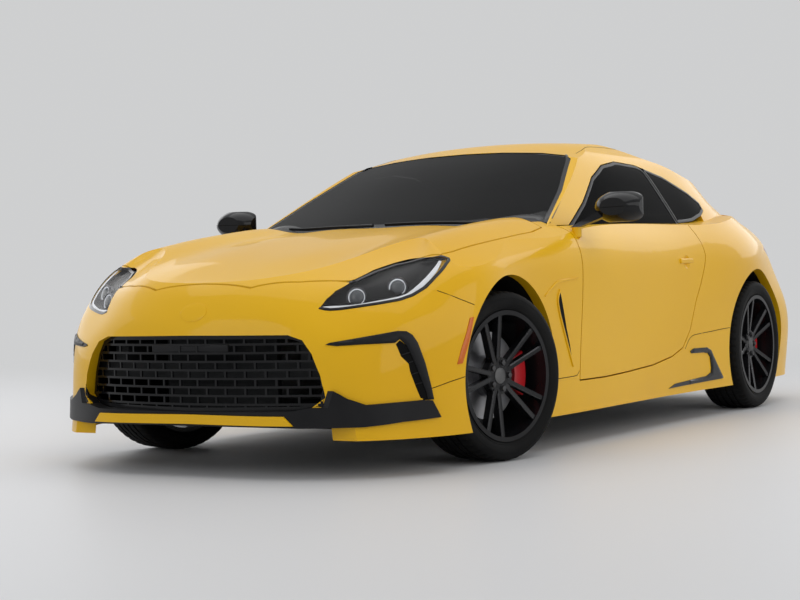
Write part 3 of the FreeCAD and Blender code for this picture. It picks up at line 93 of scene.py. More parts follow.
# %% [markdown]
# ## Tools for nodes and meshes
# A finish is a tree of nodes whose sockets are joined. It could be put together
# by hand in the shader editor, but every finish here takes the same few steps, so each
# step is written once: add a node, dial in its values, wire it to the next.

# %% Make the node and mesh tools
def new_material(name):
    """A node material, with its node tree and its main shader."""
    material = bpy.data.materials.new(name)
    material.use_nodes = True
    tree = material.node_tree
    return material, tree, tree.nodes["Principled BSDF"]


def dial(node, inputs):
    """Set a node's sockets by name."""
    for socket, value in inputs.items():
        node.inputs[socket].default_value = value


def add_node(tree, kind, inputs={}, **settings):
    """A new node, with its settings made and its sockets' values dialled in."""
    node = tree.nodes.new(kind)
    for key, value in settings.items():
        setattr(node, key, value)
    dial(node, inputs)
    return node


def wire(tree, *links):
    """Join outputs to inputs; each link is (node, output, node, input)."""
    for source, output, target, socket in links:
        tree.links.new(source.outputs[output], target.inputs[socket])


def mesh_object(name, vertices, faces, material=None, smooth=False):
    """A new object from points and faces."""
    mesh = bpy.data.meshes.new(name)
    mesh.from_pydata([tuple(v) for v in vertices], [], faces)
    mesh.update()
    if smooth:
        mesh.shade_smooth()
    thing = bpy.data.objects.new(name, mesh)
    scene.collection.objects.link(thing)
    if material:
        mesh.materials.append(material)
    return thing


def net(rows, columns, rows_meet=False, columns_meet=True):
    """Four-sided faces between neighbouring rows and columns of points."""
    faces = []
    for row in range(rows if rows_meet else rows - 1):
        for column in range(columns if columns_meet else columns - 1):
            here, there = row * columns, (row + 1) % rows * columns
            beside = (column + 1) % columns
            faces.append((here + column, here + beside, there + beside, there + column))
    return faces


print("tools ready")

# %% [markdown]
# ## Floor and backdrop
# A photo studio hangs a roll of paper that runs from wall to floor without an edge. A bent
# sheet would show its curve from some sides, so the floor here is flat. Near the car it
# takes light and shadow like any surface. Further off it fades into the plain tone of the
# backdrop, but only for the camera, for reflections and for a look through glass, so no
# edge shows where the floor ends, and its glow lights nothing.

# %% Build the floor
scene.view_settings.view_transform = "Standard"
floor_half = 40.0
fade_start, fade_end = 2.6, 9.0
floor_grey = (0.66, 0.66, 0.67, 1)
backdrop_grey = (0.62, 0.625, 0.63, 1)


def seen_directly(tree):
    """A node whose value is 1 for what the camera, a reflection or glass sees, else 0."""
    ray = add_node(tree, "ShaderNodeLightPath")
    first = add_node(tree, "ShaderNodeMath", operation="ADD", use_clamp=True)
    second = add_node(tree, "ShaderNodeMath", operation="ADD", use_clamp=True)
    wire(tree, (ray, "Is Camera Ray", first, 0), (ray, "Is Glossy Ray", first, 1),
        (first, "Value", second, 0), (ray, "Is Transmission Ray", second, 1))
    return second


floor_material, floor_tree, floor_shader = new_material("studio_floor")
dial(floor_shader, {"Base Color": floor_grey, "Roughness": 0.5})
floor_grain = add_node(floor_tree, "ShaderNodeTexNoise", {"Scale": 3.0})
floor_bump = add_node(floor_tree, "ShaderNodeBump", {"Strength": 0.02})
wire(floor_tree, (floor_grain, "Fac", floor_bump, "Height"),
    (floor_bump, "Normal", floor_shader, "Normal"))
floor_glow = add_node(floor_tree, "ShaderNodeEmission", {"Color": backdrop_grey})
floor_place = add_node(floor_tree, "ShaderNodeTexCoord")
floor_reach = add_node(floor_tree, "ShaderNodeVectorMath", operation="LENGTH")
floor_fade = add_node(floor_tree, "ShaderNodeMapRange", interpolation_type="SMOOTHSTEP")
dial(floor_fade, {"From Min": fade_start, "From Max": fade_end})
floor_share = add_node(floor_tree, "ShaderNodeMath", operation="MULTIPLY")
floor_mix = add_node(floor_tree, "ShaderNodeMixShader")
wire(floor_tree, (floor_place, "Object", floor_reach, 0),
    (floor_reach, "Value", floor_fade, "Value"), (floor_fade, "Result", floor_share, 0),
    (seen_directly(floor_tree), "Value", floor_share, 1),
    (floor_share, "Value", floor_mix, "Fac"), (floor_shader, "BSDF", floor_mix, 1),
    (floor_glow, "Emission", floor_mix, 2),
    (floor_mix, "Shader", floor_tree.nodes["Material Output"], "Surface"))
floor = mesh_object("studio_floor", [(-floor_half, -floor_half, 0), (floor_half, -floor_half, 0),
    (floor_half, floor_half, 0), (-floor_half, floor_half, 0)], [(0, 1, 2, 3)], floor_material)
print("floor", 2 * floor_half, "m wide")

# %% [markdown]
# ## Light
# Car paint is seen by what it mirrors, so a studio hangs large soft boxes round a car.
# Small lamps would leave hot white spots, and one bright world alone would leave no shape.
# The five lamps here are metres wide: one overhead, one at each side, one in front and one
# behind. The world adds a little light from all round, and what is seen of it directly is
# the plain backdrop tone.

# %% Light the studio
world = bpy.data.worlds.new("studio")
scene.world = world
world.use_nodes = True
sky_tree = world.node_tree
sky = sky_tree.nodes["Background"]
dial(sky, {"Color": (0.86, 0.88, 0.90, 1), "Strength": 0.46})
seen_sky = add_node(sky_tree, "ShaderNodeBackground", {"Color": backdrop_grey})
sky_mix = add_node(sky_tree, "ShaderNodeMixShader")
wire(sky_tree, (seen_directly(sky_tree), "Value", sky_mix, "Fac"),
    (sky, "Background", sky_mix, 1), (seen_sky, "Background", sky_mix, 2),
    (sky_mix, "Shader", sky_tree.nodes["World Output"], "Surface"))


def soft_lamp(name, place, aim, width, length, power):
    """A wide area lamp at place, turned towards aim."""
    lamp = bpy.data.lights.new(name, "AREA")
    lamp.shape = "RECTANGLE"
    lamp.size = width
    lamp.size_y = length
    lamp.energy = power
    thing = bpy.data.objects.new(name, lamp)
    scene.collection.objects.link(thing)
    thing.location = place
    thing.rotation_euler = (Vector(aim) - Vector(place)).to_track_quat("-Z", "Y").to_euler()


soft_lamp("overhead", (0.3, 0.0, 6.0), (0.0, 0.0, 0.0), 9.0, 7.0, 224)
soft_lamp("front", (10.0, -3.0, 4.5), (1.5, 0.0, 0.5), 6.0, 5.0, 129)
soft_lamp("left_side", (1.0, 9.0, 3.4), (0.0, 0.0, 0.3), 12.0, 5.0, 250)
soft_lamp("right_side", (-1.0, -9.0, 3.4), (0.0, 0.0, 0.5), 12.0, 5.0, 177)
soft_lamp("behind", (-10.0, 1.5, 4.0), (-1.5, 0.0, 0.5), 6.0, 5.0, 136)

# %% [markdown]
# ## Paint
# Car paint is a coloured base with fine flakes under a clear coat. One flat colour with a
# gloss would look like plastic. So the base drifts by a shade across a panel, a pattern of
# tiny cells tilts the surface and breaks up its gloss as flakes do, and the clear coat is
# the shader's own coat layer, which is sharper than the base under it.

# %% Mix the paint
yellow = (0.80, 0.450, 0.006)
deep_yellow = (0.74, 0.400, 0.004)


def shaded(tree, shader, dark, light, scale):
    """Noise that wanders between two colours, linked to the base colour."""
    place = add_node(tree, "ShaderNodeTexCoord")
    noise = add_node(tree, "ShaderNodeTexNoise", {"Scale": scale})
    ramp = add_node(tree, "ShaderNodeValToRGB")
    for element, position, colour in zip(ramp.color_ramp.elements, (0.35, 0.65), (dark, light)):
        element.position = position
        element.color = (*colour, 1)
    wire(tree, (place, "Object", noise, "Vector"), (noise, "Fac", ramp, "Fac"),
        (ramp, "Color", shader, "Base Color"))
    return place


def bumped(tree, shader, source, output, strength, distance):
    """A pattern that tilts the surface."""
    bump = add_node(tree, "ShaderNodeBump", {"Strength": strength, "Distance": distance})
    wire(tree, (source, output, bump, "Height"), (bump, "Normal", shader, "Normal"))


def roughened(tree, shader, source, output, low, high):
    """A pattern that moves the roughness between low and high."""
    span = add_node(tree, "ShaderNodeMapRange", {"To Min": low, "To Max": high})
    wire(tree, (source, output, span, "Value"), (span, "Result", shader, "Roughness"))


paint, paint_tree, paint_shader = new_material("yellow_paint")
paint_place = shaded(paint_tree, paint_shader, deep_yellow, yellow, 0.8)
flakes = add_node(paint_tree, "ShaderNodeTexVoronoi", {"Scale": 900.0})
wire(paint_tree, (paint_place, "Object", flakes, "Vector"))
bumped(paint_tree, paint_shader, flakes, "Distance", 0.02, 0.0002)
roughened(paint_tree, paint_shader, flakes, "Distance", 0.34, 0.42)
dial(paint_shader, {"Specular IOR Level": 0.10, "Coat Weight": 0.32, "Coat Roughness": 0.05})
print("paint nodes", len(paint_tree.nodes))

# %% [markdown]
# ## Black plastics and rubber
# The car's black parts come in two kinds: glossy, as on the mirrors, and grained, as on
# the lip and inside the wheel arches. Their grain could be modelled, but it is finer than
# a tenth of a millimetre. A fine noise does it, once as a bump and once in the roughness,
# so highlights break up as they do on moulded plastic. Each finish is one line of values.

# %% Mix the blacks
def grained(name, dark, light, rough, grain_scale, strength, drift, detail, distance):
    """A finish whose colour drifts, with a fine grain in its bump and its gloss."""
    material, tree, shader = new_material(name)
    place = shaded(tree, shader, dark, light, drift)
    grain = add_node(tree, "ShaderNodeTexNoise", {"Scale": grain_scale, "Detail": detail})
    wire(tree, (place, "Object", grain, "Vector"))
    roughened(tree, shader, grain, "Fac", *rough)
    bumped(tree, shader, grain, "Fac", strength, distance)
    return material, shader


def plastic(name, dark, light, rough, grain_scale, strength, specular=0.5, coat=0.0):
    """Moulded plastic, rubber or lacquer; rough holds its lowest and highest roughness."""
    material, shader = grained(name, dark, light, rough, grain_scale, strength, 6.0, 3.0, 0.0004)
    dial(shader, {"Specular IOR Level": specular, "Coat Weight": coat, "Coat Roughness": 0.03})
    return material


gloss_black = plastic("gloss_black", (0.004, 0.004, 0.005), (0.007, 0.007, 0.008), (0.12, 0.18),
    60.0, 0.01, 0.25)
satin_black = plastic("satin_black", (0.006, 0.006, 0.007), (0.011, 0.011, 0.012), (0.34, 0.46),
    700.0, 0.15, 0.18)
lamp_black = plastic("lamp_black", (0.004, 0.004, 0.004), (0.008, 0.008, 0.009), (0.30, 0.42),
    300.0, 0.05, 0.12)
liner_black = plastic("liner_black", (0.004, 0.004, 0.004), (0.008, 0.008, 0.008), (0.8, 0.95),
    220.0, 0.5, 0.1)
under_grey = plastic("under_grey", (0.014, 0.015, 0.016), (0.028, 0.029, 0.030), (0.65, 0.88),
    90.0, 0.4, 0.2)
wheel_black = plastic("wheel_black", (0.005, 0.005, 0.006), (0.010, 0.010, 0.011), (0.20, 0.30),
    80.0, 0.02, 0.22)
tyre_rubber = plastic("tyre_rubber", (0.004, 0.004, 0.004), (0.008, 0.008, 0.008), (0.62, 0.80),
    350.0, 0.2, 0.12)
caliper_red = plastic("caliper_red", (0.42, 0.006, 0.010), (0.52, 0.008, 0.014), (0.28, 0.38),
    90.0, 0.05, coat=0.4)
print("plastic finishes", 8)

# %% [markdown]
# ## Glass
# Window glass is nearly black from outside. It could be solid tinted glass, but light then
# loses its way between the two faces. A half-clear dark skin shows the seats faintly and
# keeps the render quick. The side windows are seen at a low angle, where any gloss would
# turn them white, so they mirror less than the screens. A small waviness softens what
# they mirror. The lamps use the same recipe in red, amber and nearly clear.

# %% Mix the glass
def tinted(name, colour, rough, specular, alpha=1.0):
    """Glass or clear plastic; alpha says how much of it hides what lies behind."""
    material, tree, shader = new_material(name)
    place = shaded(tree, shader, colour, [c * 1.15 for c in colour], 1.5)
    wave = add_node(tree, "ShaderNodeTexNoise", {"Scale": 2.5})
    wire(tree, (place, "Object", wave, "Vector"))
    bumped(tree, shader, wave, "Fac", 0.015, 0.002)
    dial(shader, {"Roughness": rough, "Alpha": alpha, "IOR": 1.45,
                  "Specular IOR Level": specular})
    return material


window_glass = tinted("window_glass", (0.004, 0.0042, 0.0045), 0.02, 0.05, alpha=0.84)
side_glass = tinted("side_glass", (0.003, 0.0031, 0.0033), 0.02, 0.003, alpha=0.94)
lens_glass = tinted("lens_glass", (0.03, 0.03, 0.032), 0.01, 0.5, alpha=0.14)
eye_glass = tinted("eye_glass", (0.10, 0.11, 0.12), 0.04, 1.0)
red_lens = tinted("red_lens", (0.34, 0.004, 0.008), 0.05, 0.4)
amber_lens = tinted("amber_lens", (0.55, 0.12, 0.006), 0.10, 0.4)
print("glass finishes", 6)

# %% [markdown]
# ## Metals
# Brake discs show fine marks left by turning, cast parts have a coarse grain, and a
# mirror's silver has almost none. The marks could be drawn as rings, but at this size they
# blur together, so one grained recipe serves all, with its own tone and scale each time.

# %% Mix the metals
def metal(name, dark, light, rough, grain_scale, strength):
    """Bare metal; rough holds its lowest and highest roughness."""
    material, shader = grained(name, dark, light, rough, grain_scale, strength, 9.0, 2.0, 0.0005)
    dial(shader, {"Metallic": 1.0})
    return material


disc_metal = metal("disc_metal", (0.22, 0.22, 0.23), (0.34, 0.34, 0.35), (0.28, 0.42), 300.0, 0.08)
cast_metal = metal("cast_metal", (0.10, 0.10, 0.10), (0.17, 0.17, 0.17), (0.45, 0.7), 160.0, 0.4)
dark_steel = metal("dark_steel", (0.05, 0.05, 0.052), (0.09, 0.09, 0.092), (0.35, 0.6), 120.0, 0.2)
bright_metal = metal("bright_metal", (0.62, 0.62, 0.63), (0.74, 0.74, 0.75), (0.08, 0.16), 40.0,
    0.02)
# A grey metal lighter than the black wheel: on the spokes' edges it is a painted highlight, on the
# projectors it is the barrels' own metal.
barrel_metal_and_painted_highlight = metal("barrel_metal_and_painted_highlight", (0.10, 0.10, 0.105), (0.15, 0.15, 0.155), (0.18, 0.28), 500.0,
    0.05)
mirror_silver = metal("mirror_silver", (0.80, 0.81, 0.82), (0.86, 0.87, 0.88), (0.0, 0.02), 3.0,
    0.002)
print("materials", len(bpy.data.materials))

# %% [markdown]
# ## Cloth and the lamps' light guide
# Seat cloth is woven: one set of threads runs across the other. Real threads would cost
# millions of faces. Two wave patterns, laid crosswise and joined by their maximum, give
# the same little hills to the bump, and a soft sheen lies on top. The light guide in a
# lamp is white plastic. No lamp is lit, so its faint glow is painted light, which keeps
# the guide bright inside the dark bowl.

# %% Mix the cloth and the light guide
seat_cloth, cloth_tree, cloth_shader = new_material("seat_cloth")
cloth_place = shaded(cloth_tree, cloth_shader, (0.010, 0.010, 0.011), (0.024, 0.024, 0.026), 40.0)
weave = add_node(cloth_tree, "ShaderNodeMath", operation="MAXIMUM")
for socket, direction in enumerate("XY"):
    thread = add_node(cloth_tree, "ShaderNodeTexWave", {"Scale": 160.0, "Distortion": 0.6},
                      bands_direction=direction)
    wire(cloth_tree, (cloth_place, "Object", thread, "Vector"), (thread, "Fac", weave, socket))
bumped(cloth_tree, cloth_shader, weave, "Value", 0.5, 0.0008)
roughened(cloth_tree, cloth_shader, weave, "Value", 0.80, 0.95)
dial(cloth_shader, {"Sheen Weight": 0.25})

guide_white_painted_glow, guide_tree, guide_shader = new_material("guide_white_painted_glow")
shaded(guide_tree, guide_shader, (0.72, 0.73, 0.75), (0.80, 0.81, 0.83), 30.0)
# Painted light: the guide sits in no lit lamp, so this emission stands in for light falling on it.
dial(guide_shader,
    {"Roughness": 0.25, "Emission Color": (0.9, 0.93, 1.0, 1), "Emission Strength": 0.35})
print("cloth and guide ready")

# %% [markdown]
# ## Finish the CAD pieces
# The panels, wheels and screens come from CAD with their real thickness and gaps. They
# could be built again as subdivision surfaces, but their shapes are right as they come,
# so each keeps its mesh and only gets its finish. Corners sharper than a set angle stay
# sharp, and the rest is shaded smooth, as pressed steel is.

# %% Put each finish on its CAD node
finish_of_slot = {"paint": paint, "black_trim": gloss_black, "black_plastic": satin_black,
    "glass": window_glass, "lamp": gloss_black, "tail_lamp": red_lens, "tyre": tyre_rubber,
    "wheel": wheel_black, "disc": disc_metal, "caliper": caliper_red, "steel": dark_steel,
    "underbody": under_grey, "cast": cast_metal, "exhaust": bright_metal,
    "upholstery": seat_cloth, "alloy": cast_metal}
own_finish = {"side_skirts": paint, "wheel_liners": liner_black, "front_splitter": satin_black,
    "quarter_windows": side_glass, "door_window_left": side_glass,
    "door_window_right": side_glass}
crease_angle = math.radians(32)
slot_of_node = {row["node"]: row["material_slot"] for row in frame["record"]["subparts"]}
for node_name, node in frame["nodes"].items():
    node.data.materials.clear()
    node.data.materials.append(own_finish.get(node_name, finish_of_slot[slot_of_node[node_name]]))
    node.data.polygons.foreach_set("material_index", [0] * len(node.data.polygons))
    node.data.set_sharp_from_angle(angle=crease_angle)
print("CAD nodes finished", len(frame["nodes"]))

# %% [markdown]
# ## Pieces that lie on a panel
# Trim, seals and seams follow the body's curves. They could be modelled flat and shrunk
# on with a modifier, but that drags their edges sideways. Here each one starts as points
# near the panel. A ray from outside finds the skin below each point, and the piece is
# built up from there along the skin's own slope, so it sits on the panel from any side.

# %% Find the skin
ray_reach = 2.5


def skin_of(*names):
    """A search tree over the meshes of some CAD nodes."""
    points, faces = [], []
    for name in names:
        mesh = frame["nodes"][name].data
        first = len(points)
        points += [v.co.copy() for v in mesh.vertices]
        faces += [[first + i for i in face.vertices] for face in mesh.polygons]
    return BVHTree.FromPolygons(points, faces)


def on_skin(skin, point, view):
    """The skin's place and slope where a line through point, along view, first meets it."""
    place, normal, _, _ = skin.ray_cast(Vector(point) - view, view, ray_reach)
    if place is None:
        place, normal, _, _ = skin.find_nearest(Vector(point))
    return (place, -normal) if normal.dot(view) > 0 else (place, normal)


def put(thing, body="chassis"):
    """Ride on a body."""
    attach(thing, body)
    return thing


def pair_up(name, points, faces, material, body, both):
    """The left piece, and its mirror image on the right when both is set."""
    sides = [(name + ("_left" if both else ""), points, faces, body)]
    if both:
        sides.append((name + "_right", [(p[0], -p[1], p[2]) for p in points],
                      [face[::-1] for face in faces], body.replace("left", "right")))
    pieces = []
    for label, spots, shapes, owner in sides:
        pieces.append(put(mesh_object(label, spots, shapes, material, True), owner))
        pieces[-1].data.set_sharp_from_angle(angle=crease_angle)
    return pieces[0]


outer_skin = skin_of("front_bumper", "front_fenders", "bumper_corners", "side_skirts",
    "quarter_panels", "door_left", "door_right", "rear_bumper", "front_splitter")
print("skin ready")

# %% [markdown]
# A strip follows a path: a seam, a seal or a light guide. A bevelled curve would be quick,
# but it rolls over where the skin bends. So the path is smoothed and dropped on the skin,
# and each stop on it gets a low section, square to the skin, with bevelled shoulders that
# catch a thin highlight.

# %% Make the strip tool
def smooth_path(points, step):
    """Even points along a soft curve through the given ones."""
    spots = [Vector(p) for p in points]
    spots = [spots[0] * 2 - spots[1]] + spots + [spots[-1] * 2 - spots[-2]]
    curve = []
    for a, b, c, d in zip(spots, spots[1:], spots[2:], spots[3:]):
        count = max(1, round((c - b).length / step))
        for i in range(count):
            t = i / count
            curve.append(((-t + 2 * t * t - t ** 3) * a + (2 - 5 * t * t + 3 * t ** 3) * b
                          + (t + 4 * t * t - 3 * t ** 3) * c + (t ** 3 - t * t) * d) / 2)
    return curve + [spots[-2]]


def width_at(widths, share):
    """The width at a share of the length, from one width or an even row of them."""
    if not isinstance(widths, (list, tuple)):
        return widths
    place = share * (len(widths) - 1)
    low = min(int(place), len(widths) - 2)
    return widths[low] + (widths[low + 1] - widths[low]) * (place - low)


band_section = ((-1, -0.3), (-1, 0.5), (-0.6, 1), (0.6, 1), (1, 0.5), (1, -0.3))


def strip(name, path, view, widths, height, material, skin=outer_skin, lift=0.0, body="chassis",
          slot="black_trim", both=True, closed=False, step=0.012):
    """A low raised band along a path on the skin."""
    view = Vector(view).normalized()
    middle = smooth_path(path + path[:1], step)[:-1] if closed else smooth_path(path, step)
    spots = [on_skin(skin, p, view) for p in middle]
    count = len(spots)
    points = []
    for i, (place, normal) in enumerate(spots):
        before = spots[(i - 1) % count if closed else max(i - 1, 0)][0]
        after = spots[(i + 1) % count if closed else min(i + 1, count - 1)][0]
        side = normal.cross((after - before).normalized()).normalized()
        half = width_at(widths, i / max(count - 1, 1)) / 2
        for across, rise in band_section:
            points.append(place + side * (half * across) + normal * (lift + height * rise))
    faces = net(count, 6, rows_meet=closed)
    if not closed:
        faces += [tuple(range(5, -1, -1)), tuple(range(6 * count - 6, 6 * count))]
    return pair_up(name, points, faces, material, body, both)


print("strip tool ready")

# %% [markdown]
# A plate covers an area: a trim panel, a lamp lens, a number plate. A flat shape cut out
# by its outline would have long thin triangles, which crease on a curved panel. So the
# outline is filled with small even ones, each corner is dropped on the skin, and the
# middle is raised a little more than the edge, so that the border reads as a bevel.

# %% Make the plate tool
clear_of_rim = 0.45
plate_root = 0.001


def border_distance(segments, p):
    """How far p lies from the nearest of some flat segments."""
    best = math.inf
    for a, b in segments:
        run = b - a
        t = max(0.0, min(1.0, (p - a).dot(run) / max(run.dot(run), 1e-12)))
        best = min(best, (p - a - run * t).length)
    return best


def inside(segments, p):
    """Whether p lies inside the outline: a line from it crosses an odd number of sides."""
    odd = False
    for a, b in segments:
        if (a.y > p.y) != (b.y > p.y) and p.x < a.x + (b.x - a.x) * (p.y - a.y) / (b.y - a.y):
            odd = not odd
    return odd


def plate(name, outline, view, height, material, skin=outer_skin, lift=0.0, edge=0.5,
          body="chassis", both=True, spacing=0.014):
    """A thin raised panel inside an outline on the skin; edge is its rim's share of height."""
    view = Vector(view).normalized()
    u = view.cross(Vector((0, 0, 1))).normalized()
    v = u.cross(view)
    corners = [Vector(p) for p in outline]
    depth = sum(p.dot(view) for p in corners) / len(corners)
    rim = []
    for a, b in zip(corners, corners[1:] + corners[:1]):
        count = max(1, math.ceil((b - a).length / spacing))
        rim += [a.lerp(b, i / count) for i in range(count)]
    flat = [Vector((p.dot(u), p.dot(v))) for p in rim]
    segments = list(zip(flat, flat[1:] + flat[:1]))

    low = Vector((min(p.x for p in flat), min(p.y for p in flat)))
    high = Vector((max(p.x for p in flat), max(p.y for p in flat)))
    inner = []
    for i in range(int((high.x - low.x) / spacing) + 1):
        for j in range(int((high.y - low.y) / spacing) + 1):
            p = low + Vector((i + 0.5, j + 0.5)) * spacing
            if inside(segments, p) and border_distance(segments, p) > spacing * clear_of_rim:
                inner.append(p)
    spots, _, triangles, *_ = delaunay_2d_cdt(flat + inner, [], [list(range(len(flat)))], 1, 1e-6)
    rim_count = len(flat)
    tops, bases = [], []
    for i, p in enumerate(spots):
        place, normal = on_skin(skin, u * p.x + v * p.y + view * depth, view)
        raised = height * edge if i < rim_count else height
        tops.append(place + normal * (lift + raised))
        bases.append(place + normal * (lift - plate_root))
    total = len(tops)
    faces = []
    for a, b, c in triangles:
        facing = (tops[b] - tops[a]).cross(tops[c] - tops[a]).dot(view) < 0
        up = (a, b, c) if facing else (a, c, b)
        faces.append(up)
        faces.append(tuple(total + i for i in up[::-1]))
    used = dict.fromkeys((a, b) for face in faces[::2] for a, b in zip(face, face[1:] + face[:1]))
    faces += [(b, a, total + a, total + b) for a, b in used if (b, a) not in used]
    return pair_up(name, tops + bases, faces, material, body, both)


print("plate tool ready")

# %% [markdown]
# ## Front bumper trim
# Beside the grille an angular black trim frames a narrow upright slot. On the real car it
# is one moulded part with a hollow behind it. The hollow could be cut into the bumper,
# but it is shallow and always in shade, so the outer band stands proud and the slot is a
# flat, very dark plate beside it with short ribs across, which reads as depth.

# %% Lay the corner trims
corner_view = (-0.62, -0.78, 0)
band_outer = [(2.030, 0.535, 0.462), (2.023, 0.548, 0.468), (1.958, 0.639, 0.484),
    (1.873, 0.728, 0.502), (1.850, 0.750, 0.500), (1.836, 0.765, 0.487), (1.824, 0.778, 0.460),
    (1.807, 0.796, 0.390), (1.790, 0.808, 0.307), (1.784, 0.815, 0.262)]
band_inner = [(1.806, 0.803, 0.262), (1.807, 0.798, 0.287), (1.825, 0.785, 0.344),
    (1.844, 0.768, 0.410), (1.858, 0.753, 0.453), (1.872, 0.735, 0.474), (1.888, 0.726, 0.462),
    (1.965, 0.643, 0.460), (2.015, 0.568, 0.457)]
plate("corner_trim", band_outer + band_inner, corner_view, 0.007, satin_black, spacing=0.010)
slot_edge = [(1.886, 0.729, 0.458), (1.877, 0.743, 0.415), (1.857, 0.760, 0.389),
    (1.855, 0.764, 0.363), (1.839, 0.777, 0.306),
    (1.826, 0.791, 0.262)] + band_inner[:5] + [(1.872, 0.735, 0.470)]
plate("corner_slot", slot_edge, corner_view, 0.0016, liner_black, spacing=0.010)
for rib, (inner, outer) in enumerate((((1.875, 0.744, 0.420), (1.852, 0.762, 0.428)),
                                      ((1.857, 0.761, 0.392), (1.844, 0.771, 0.398)),
                                      ((1.851, 0.767, 0.352), (1.831, 0.781, 0.358)),
                                      ((1.841, 0.776, 0.318), (1.821, 0.789, 0.322)))):
    strip("slot_rib_%d" % rib, [inner, outer], corner_view, 0.004, 0.004, satin_black, step=0.006)
print("corner trims laid")

# %% [markdown]
# A flat dark gusset fills each lower corner of the grille's opening, and a plain bar
# crosses the grille. Above it the nose carries a shallow disc in body colour. It could be
# pressed out of the CAD panel, but its rim is only two millimetres high, so a thin plate
# with a bevelled edge shows it more sharply.

# %% Add the gussets, the bar and the nose disc
nose_skin = skin_of("front_bumper")


def level_box(name, low, high, bevel, material, body="chassis", both=False):
    """A block with rounded edges, from its lowest to its highest corner."""
    work = bmesh.new()
    bmesh.ops.create_cube(work, size=1.0)
    low, high = Vector(low), Vector(high)
    for vertex in work.verts:
        vertex.co = Vector([low[i] + (vertex.co[i] + 0.5) * (high[i] - low[i]) for i in range(3)])
    bmesh.ops.bevel(work, geom=list(work.edges), offset=bevel, segments=3, profile=0.5,
        affect="EDGES")
    points = [tuple(v.co) for v in work.verts]
    faces = [tuple(v.index for v in face.verts) for face in work.faces]
    work.free()
    return pair_up(name, points, faces, material, body, both)


gusset = [(0.492, 0.312), (0.512, 0.300), (0.535, 0.286), (0.545, 0.232), (0.425, 0.226),
    (0.470, 0.243), (0.492, 0.268), (0.500, 0.290)]
plate("grille_corner", [(2.05, y, z) for y, z in gusset], (-1, 0, 0), 0.0015, satin_black,
    skin=nose_skin, spacing=0.008)
level_box("plate_bracket", (2.086, -0.170, 0.440), (2.101, 0.170, 0.468), 0.004, satin_black)
disc_y, disc_z, disc_wide, disc_high = 0.012, 0.582, 0.058, 0.036
disc_points = []
for i in range(28):
    turn = 2 * math.pi * i / 28
    disc_points.append((2.09, disc_y + disc_wide * math.cos(turn),
                        disc_z + disc_high * math.sin(turn)))
plate("nose_disc", disc_points, (-1, 0, -0.15), 0.0022, paint, skin=nose_skin, both=False,
    spacing=0.008)
print("front details added")

# %% [markdown]
# ## Side trim
# Behind the front wheel a slim black slash lets air out. A fold starts at its top and runs
# to the arch and to the door. In front of the wheel an amber marker sits on the arch edge,
# and on the sill a black trim, bent like a seven, stands before the rear wheel. Bumps in
# the paint's material would vanish in outline, so each is a thin piece with real edges.

# %% Lay the side trims
side_view = (0, -1, 0)
plate("side_vent", [(0.862, 0.854, 0.622), (0.886, 0.854, 0.585), (0.874, 0.854, 0.540),
    (0.852, 0.853, 0.495), (0.799, 0.851, 0.411), (0.752, 0.849, 0.322), (0.776, 0.850, 0.404),
    (0.806, 0.853, 0.470), (0.830, 0.853, 0.540), (0.848, 0.853, 0.590)], side_view, 0.0016,
    liner_black, spacing=0.008)
strip("vent_rim", [(0.862, 0.854, 0.624), (0.884, 0.854, 0.585), (0.872, 0.854, 0.538),
    (0.849, 0.853, 0.492), (0.802, 0.851, 0.408), (0.750, 0.849, 0.318)], side_view, 0.008, 0.005,
    paint, slot="paint")
strip("vent_fold", [(0.994, 0.855, 0.601), (0.948, 0.854, 0.624), (0.893, 0.854, 0.649),
    (0.860, 0.854, 0.656), (0.815, 0.854, 0.660), (0.700, 0.855, 0.668)], side_view,
    [0.004, 0.010, 0.012, 0.010, 0.006, 0.003], 0.0035, paint, slot="paint")
marker_view = (-0.5, -0.86, 0)
plate("side_marker", [(1.618, 0.872, 0.538), (1.600, 0.879, 0.540), (1.628, 0.874, 0.462),
    (1.668, 0.866, 0.380), (1.690, 0.857, 0.378), (1.668, 0.860, 0.430), (1.640, 0.868, 0.488)],
    marker_view, 0.005, amber_lens, spacing=0.008)
plate("sill_trim", [(-0.483, 0.844, 0.319), (-0.519, 0.846, 0.329), (-0.666, 0.853, 0.327),
    (-0.712, 0.855, 0.312), (-0.778, 0.857, 0.246), (-0.850, 0.860, 0.176),
    (-0.840, 0.859, 0.172), (-0.236, 0.837, 0.163), (-0.310, 0.837, 0.180),
    (-0.660, 0.849, 0.194), (-0.712, 0.852, 0.208), (-0.716, 0.853, 0.230),
    (-0.700, 0.853, 0.282), (-0.674, 0.852, 0.300), (-0.630, 0.851, 0.305),
    (-0.493, 0.844, 0.308)], side_view, 0.007, gloss_black, spacing=0.012)
print("side trims laid")

# %% [markdown]
# ## Seams
# Where two panels meet, a thin dark line shows. The doors and lids have real gaps in the
# CAD model. Fixed panels touch, and a painted line would need its own map of the surface,
# so a fine black thread of mesh marks each joint and stays crisp at any distance.

